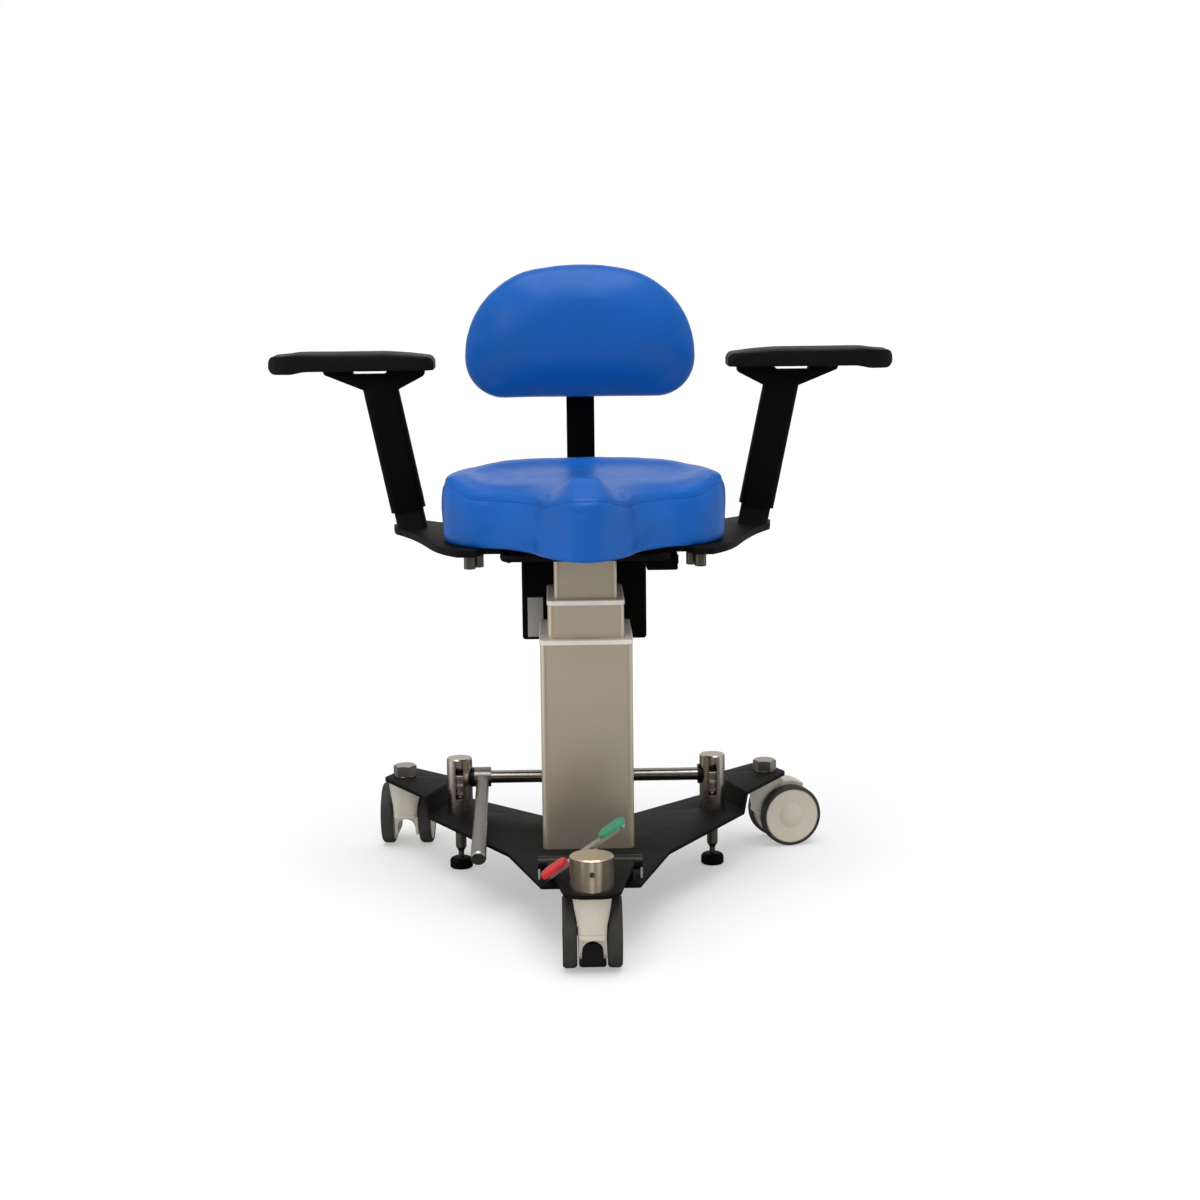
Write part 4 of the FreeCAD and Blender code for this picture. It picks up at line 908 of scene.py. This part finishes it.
def wing_screws():
    """Socket screws that hold the arm brackets, heads down."""
    low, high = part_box("wing_bolts")
    made = []
    for side in (-1, 1):
        for x, y in WING_SCREWS:
            screw = socket_screw("wing_screw", WING_SCREW_R, high.z - low.z, WING_SCREW_R)
            made.append(stood(screw, (side * x, y + COLUMN_Y, high.z), (math.pi, 0, 0)))
    screws = joined("wing_screws", made)
    dress(screws, SCREW_STEEL)
    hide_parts("wing_bolts")
    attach(screws, "seat")


def box_plate():
    """Bare plate on the front of the battery box."""
    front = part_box("battery_box")[0].y
    low = (BOX_PLATE_X[0], front - 0.0009, BOX_PLATE_Z[0])
    high = (BOX_PLATE_X[1], front + 0.0004, BOX_PLATE_Z[1])
    plate = rounded_block("box_plate", low, high, edge=0.0004, segments=2)
    dress(plate, PLATE_FACE)
    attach(plate, "seat")


def stem_grub_screw():
    """Grub screw in the recess of the front socket."""
    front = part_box("stem_socket")[0].y
    screw = socket_screw("stem_grub_screw", radius=0.0034, height=0.003, flats=0.004)
    stood(screw, (0, front + GRUB_DEPTH, GRUB_Z), (math.radians(90), 0, 0))
    dress(screw, SCREW_STEEL)
    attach(screw, "base")


def painted_shade_shoe():
    """Dark shoe at the foot of the front castor's lock, between its wheels: painted shade that
    fills the shaded gap there.
    """
    low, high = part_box("castor_lock")
    shoe = rounded_block("painted_shade_shoe", (-SHADE_SHOE_HALF, low.y + 0.002, low.z - 0.005),
                         (SHADE_SHOE_HALF, high.y - 0.002, low.z + 0.0055), edge=0.004)
    dress(shoe, LOCK_PLASTIC)
    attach(shoe, "castor_front")


def rear_screws(name, node, body, across, up):
    """Four socket screws on a piece's rear face, at shares of its half width and half height."""
    low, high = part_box(node)
    tree = skin(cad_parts[node])
    middle = (low + high) / 2
    half = (high - low) / 2
    made = []
    for side in (-1, 1):
        for level in (-1, 1):
            start = middle + Vector((side * across * half.x, 0.3, level * up * half.z))
            place, normal = tree.ray_cast(start, Vector((0, -1, 0)))[:2]
            screw = socket_screw("rear_screw", radius=0.0046, height=0.0026, flats=0.0032)
            turn = normal.to_track_quat("Z", "Y").to_euler()
            made.append(stood(screw, place - normal * 0.0006, turn))
    screws = joined(name, made)
    dress(screws, SCREW_STEEL)
    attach(screws, body)


# Studio

def studio_floor():
    """Pale floor, which gloss doesn't show."""
    deselect()
    bpy.ops.mesh.primitive_plane_add(size=60, location=(0, 0, 0))
    floor = named("studio_floor")
    paint = Finish("studio_floor_paint", (FLOOR_GREY,) * 3, 0.95, Specular_IOR_Level=0.1,
                   Emission_Color=(1.0, 1.0, 1.0, 1.0), Emission_Strength=FLOOR_GLOW)
    paint.gloss(paint.noise(2, 2), 0.92, 0.98)
    dress(floor, paint)
    floor.visible_glossy = False


def shade_reflection_card():
    """Dark card on the floor round the chair, which only gloss shows: a painted reflection of
    shaded floor on the glossy parts.
    """
    deselect()
    bpy.ops.mesh.primitive_plane_add(size=1.6, location=(0, 0.1, 0.0004))
    card = named("studio_card")
    dress(card, Finish("studio_card_paint", (SHADE_CARD_GREY,) * 3, 0.9))
    card.visible_camera = False
    card.visible_diffuse = False
    card.visible_shadow = False


def soft_light(name, place, aim, size, power):
    """Large square lamp turned to a point."""
    lamp = bpy.data.lights.new(name, "AREA")
    lamp.shape = "SQUARE"
    lamp.size = size
    lamp.energy = power
    holder = bpy.data.objects.new(name, lamp)
    holder.location = place
    holder.rotation_euler = (Vector(aim) - Vector(place)).to_track_quat("-Z", "Y").to_euler()
    bpy.context.scene.collection.objects.link(holder)


def overhead_light(strength, spread, tilt):
    """Even light from a wide bright ceiling."""
    lamp = bpy.data.lights.new("overhead", "SUN")
    lamp.energy = strength
    lamp.angle = math.radians(spread)
    holder = bpy.data.objects.new("overhead", lamp)
    holder.rotation_euler = (math.radians(tilt), 0, 0)
    bpy.context.scene.collection.objects.link(holder)


def ramp(tree, factor, levels):
    """Grey levels along a factor."""
    made = tree.nodes.new("ShaderNodeValToRGB")
    stops = made.color_ramp.elements
    while len(stops) < len(levels):
        stops.new(0.5)
    for stop, (place, level) in zip(stops, levels):
        stop.position = place
        stop.color = (level, level, level, 1.0)
    tree.links.new(factor, made.inputs["Fac"])
    return made.outputs["Color"]


def mapped(tree, value, low, high):
    """A value's range as 0 to 1."""
    made = tree.nodes.new("ShaderNodeMapRange")
    made.inputs["From Min"].default_value = low
    made.inputs["From Max"].default_value = high
    tree.links.new(value, made.inputs["Value"])
    return made.outputs["Result"]


def plain_light(tree, level):
    """Light of one grey level from all round."""
    made = tree.nodes.new("ShaderNodeBackground")
    made.inputs["Color"].default_value = (level, level, level, 1.0)
    return made.outputs[0]


def switched(tree, test, otherwise, chosen):
    """One light for the rays that pass a test, and another for the rest."""
    made = tree.nodes.new("ShaderNodeMixShader")
    for socket, source in zip(made.inputs, (test, otherwise, chosen)):
        tree.links.new(source, socket)
    return made.outputs[0]


def surroundings():
    """Even pale room; gloss shows darker and brighter bays, and the camera plain white."""
    world = bpy.data.worlds.new("surroundings")
    world.use_nodes = True
    tree = world.node_tree
    sky = tree.nodes["Background"]
    bearing = tree.nodes.new("ShaderNodeTexGradient")
    bearing.gradient_type = "RADIAL"
    way = tree.nodes.new("ShaderNodeTexCoord").outputs["Generated"]
    tree.links.new(way, bearing.inputs["Vector"])
    tree.links.new(ramp(tree, bearing.outputs["Fac"], ROOM_BAYS), sky.inputs["Color"])
    axes = tree.nodes.new("ShaderNodeSeparateXYZ")
    tree.links.new(way, axes.inputs["Vector"])
    ahead = mapped(tree, axes.outputs["Y"], -0.25, -0.6)
    height = mapped(tree, axes.outputs["Z"], -1.0, 1.0)
    dimmed = tree.nodes.new("ShaderNodeMix")
    dimmed.inputs[2].default_value = 1.0
    tree.links.new(ahead, dimmed.inputs[0])
    tree.links.new(ramp(tree, height, ROOM_HEIGHTS), dimmed.inputs[3])
    tree.links.new(dimmed.outputs[0], sky.inputs["Strength"])
    path = tree.nodes.new("ShaderNodeLightPath").outputs
    gloss = switched(tree, path["Is Glossy Ray"], plain_light(tree, ROOM_LIGHT), sky.outputs[0])
    seen = switched(tree, path["Is Camera Ray"], gloss, plain_light(tree, 1.0))
    tree.links.new(seen, tree.nodes["World Output"].inputs["Surface"])
    bpy.context.scene.world = world


def studio():
    """Floor, lamps, surroundings and camera."""
    scene = bpy.context.scene
    studio_floor()
    shade_reflection_card()
    overhead_light(SUN_POWER, SUN_SPREAD, SUN_TILT)
    soft_light("front_left", place=(-2.4, -3.0, 2.4), aim=(0, 0, 0.5), size=1.6, power=20)
    surroundings()
    scene.view_settings.view_transform = "Standard"
    photograph_camera(scene)


def photograph_camera(scene):
    """Camera at the photograph's place, angle and framing."""
    data = bpy.data.cameras.new("photo_camera")
    data.sensor_width = SENSOR
    data.lens = SENSOR * FOCAL_PX / IMAGE
    camera = bpy.data.objects.new("photo_camera", data)
    turn = Matrix.Rotation(CAMERA_TURN, 3, "Z")
    forward = Vector((0, math.cos(CAMERA_PITCH), -math.sin(CAMERA_PITCH)))
    level_up = Vector((0, math.sin(CAMERA_PITCH), math.cos(CAMERA_PITCH)))
    level_right = Vector((1, 0, 0))
    right = level_right * math.cos(CAMERA_ROLL) - level_up * math.sin(CAMERA_ROLL)
    up = level_right * math.sin(CAMERA_ROLL) + level_up * math.cos(CAMERA_ROLL)
    axes = Matrix((turn @ right, turn @ up, turn @ -forward)).transposed()
    place = turn @ Vector((CAMERA_SIDE, -CAMERA_DISTANCE, CAMERA_HEIGHT)) + Vector((0, AIM_Y, 0))
    camera.matrix_world = Matrix.Translation(place) @ axes.to_4x4()
    scene.collection.objects.link(camera)
    scene.camera = camera


studio()
dress_frame()
seat_upholstery()
back_upholstery()
arm_rest("left")
arm_rest("right")
box_plate()
stem_grub_screw()
stem_bolt_heads()
wing_screws()
painted_shade_shoe()
rear_screws("board_screws", "back_board", "backrest", across=0.62, up=0.5)
rear_screws("box_screws", "battery_box", "seat", across=0.88, up=0.84)
for sharp_piece in EASED:
    eased(*sharp_piece)
for castor, (stem, trail) in CASTORS.items():
    castor_shell(castor, stem, trail)
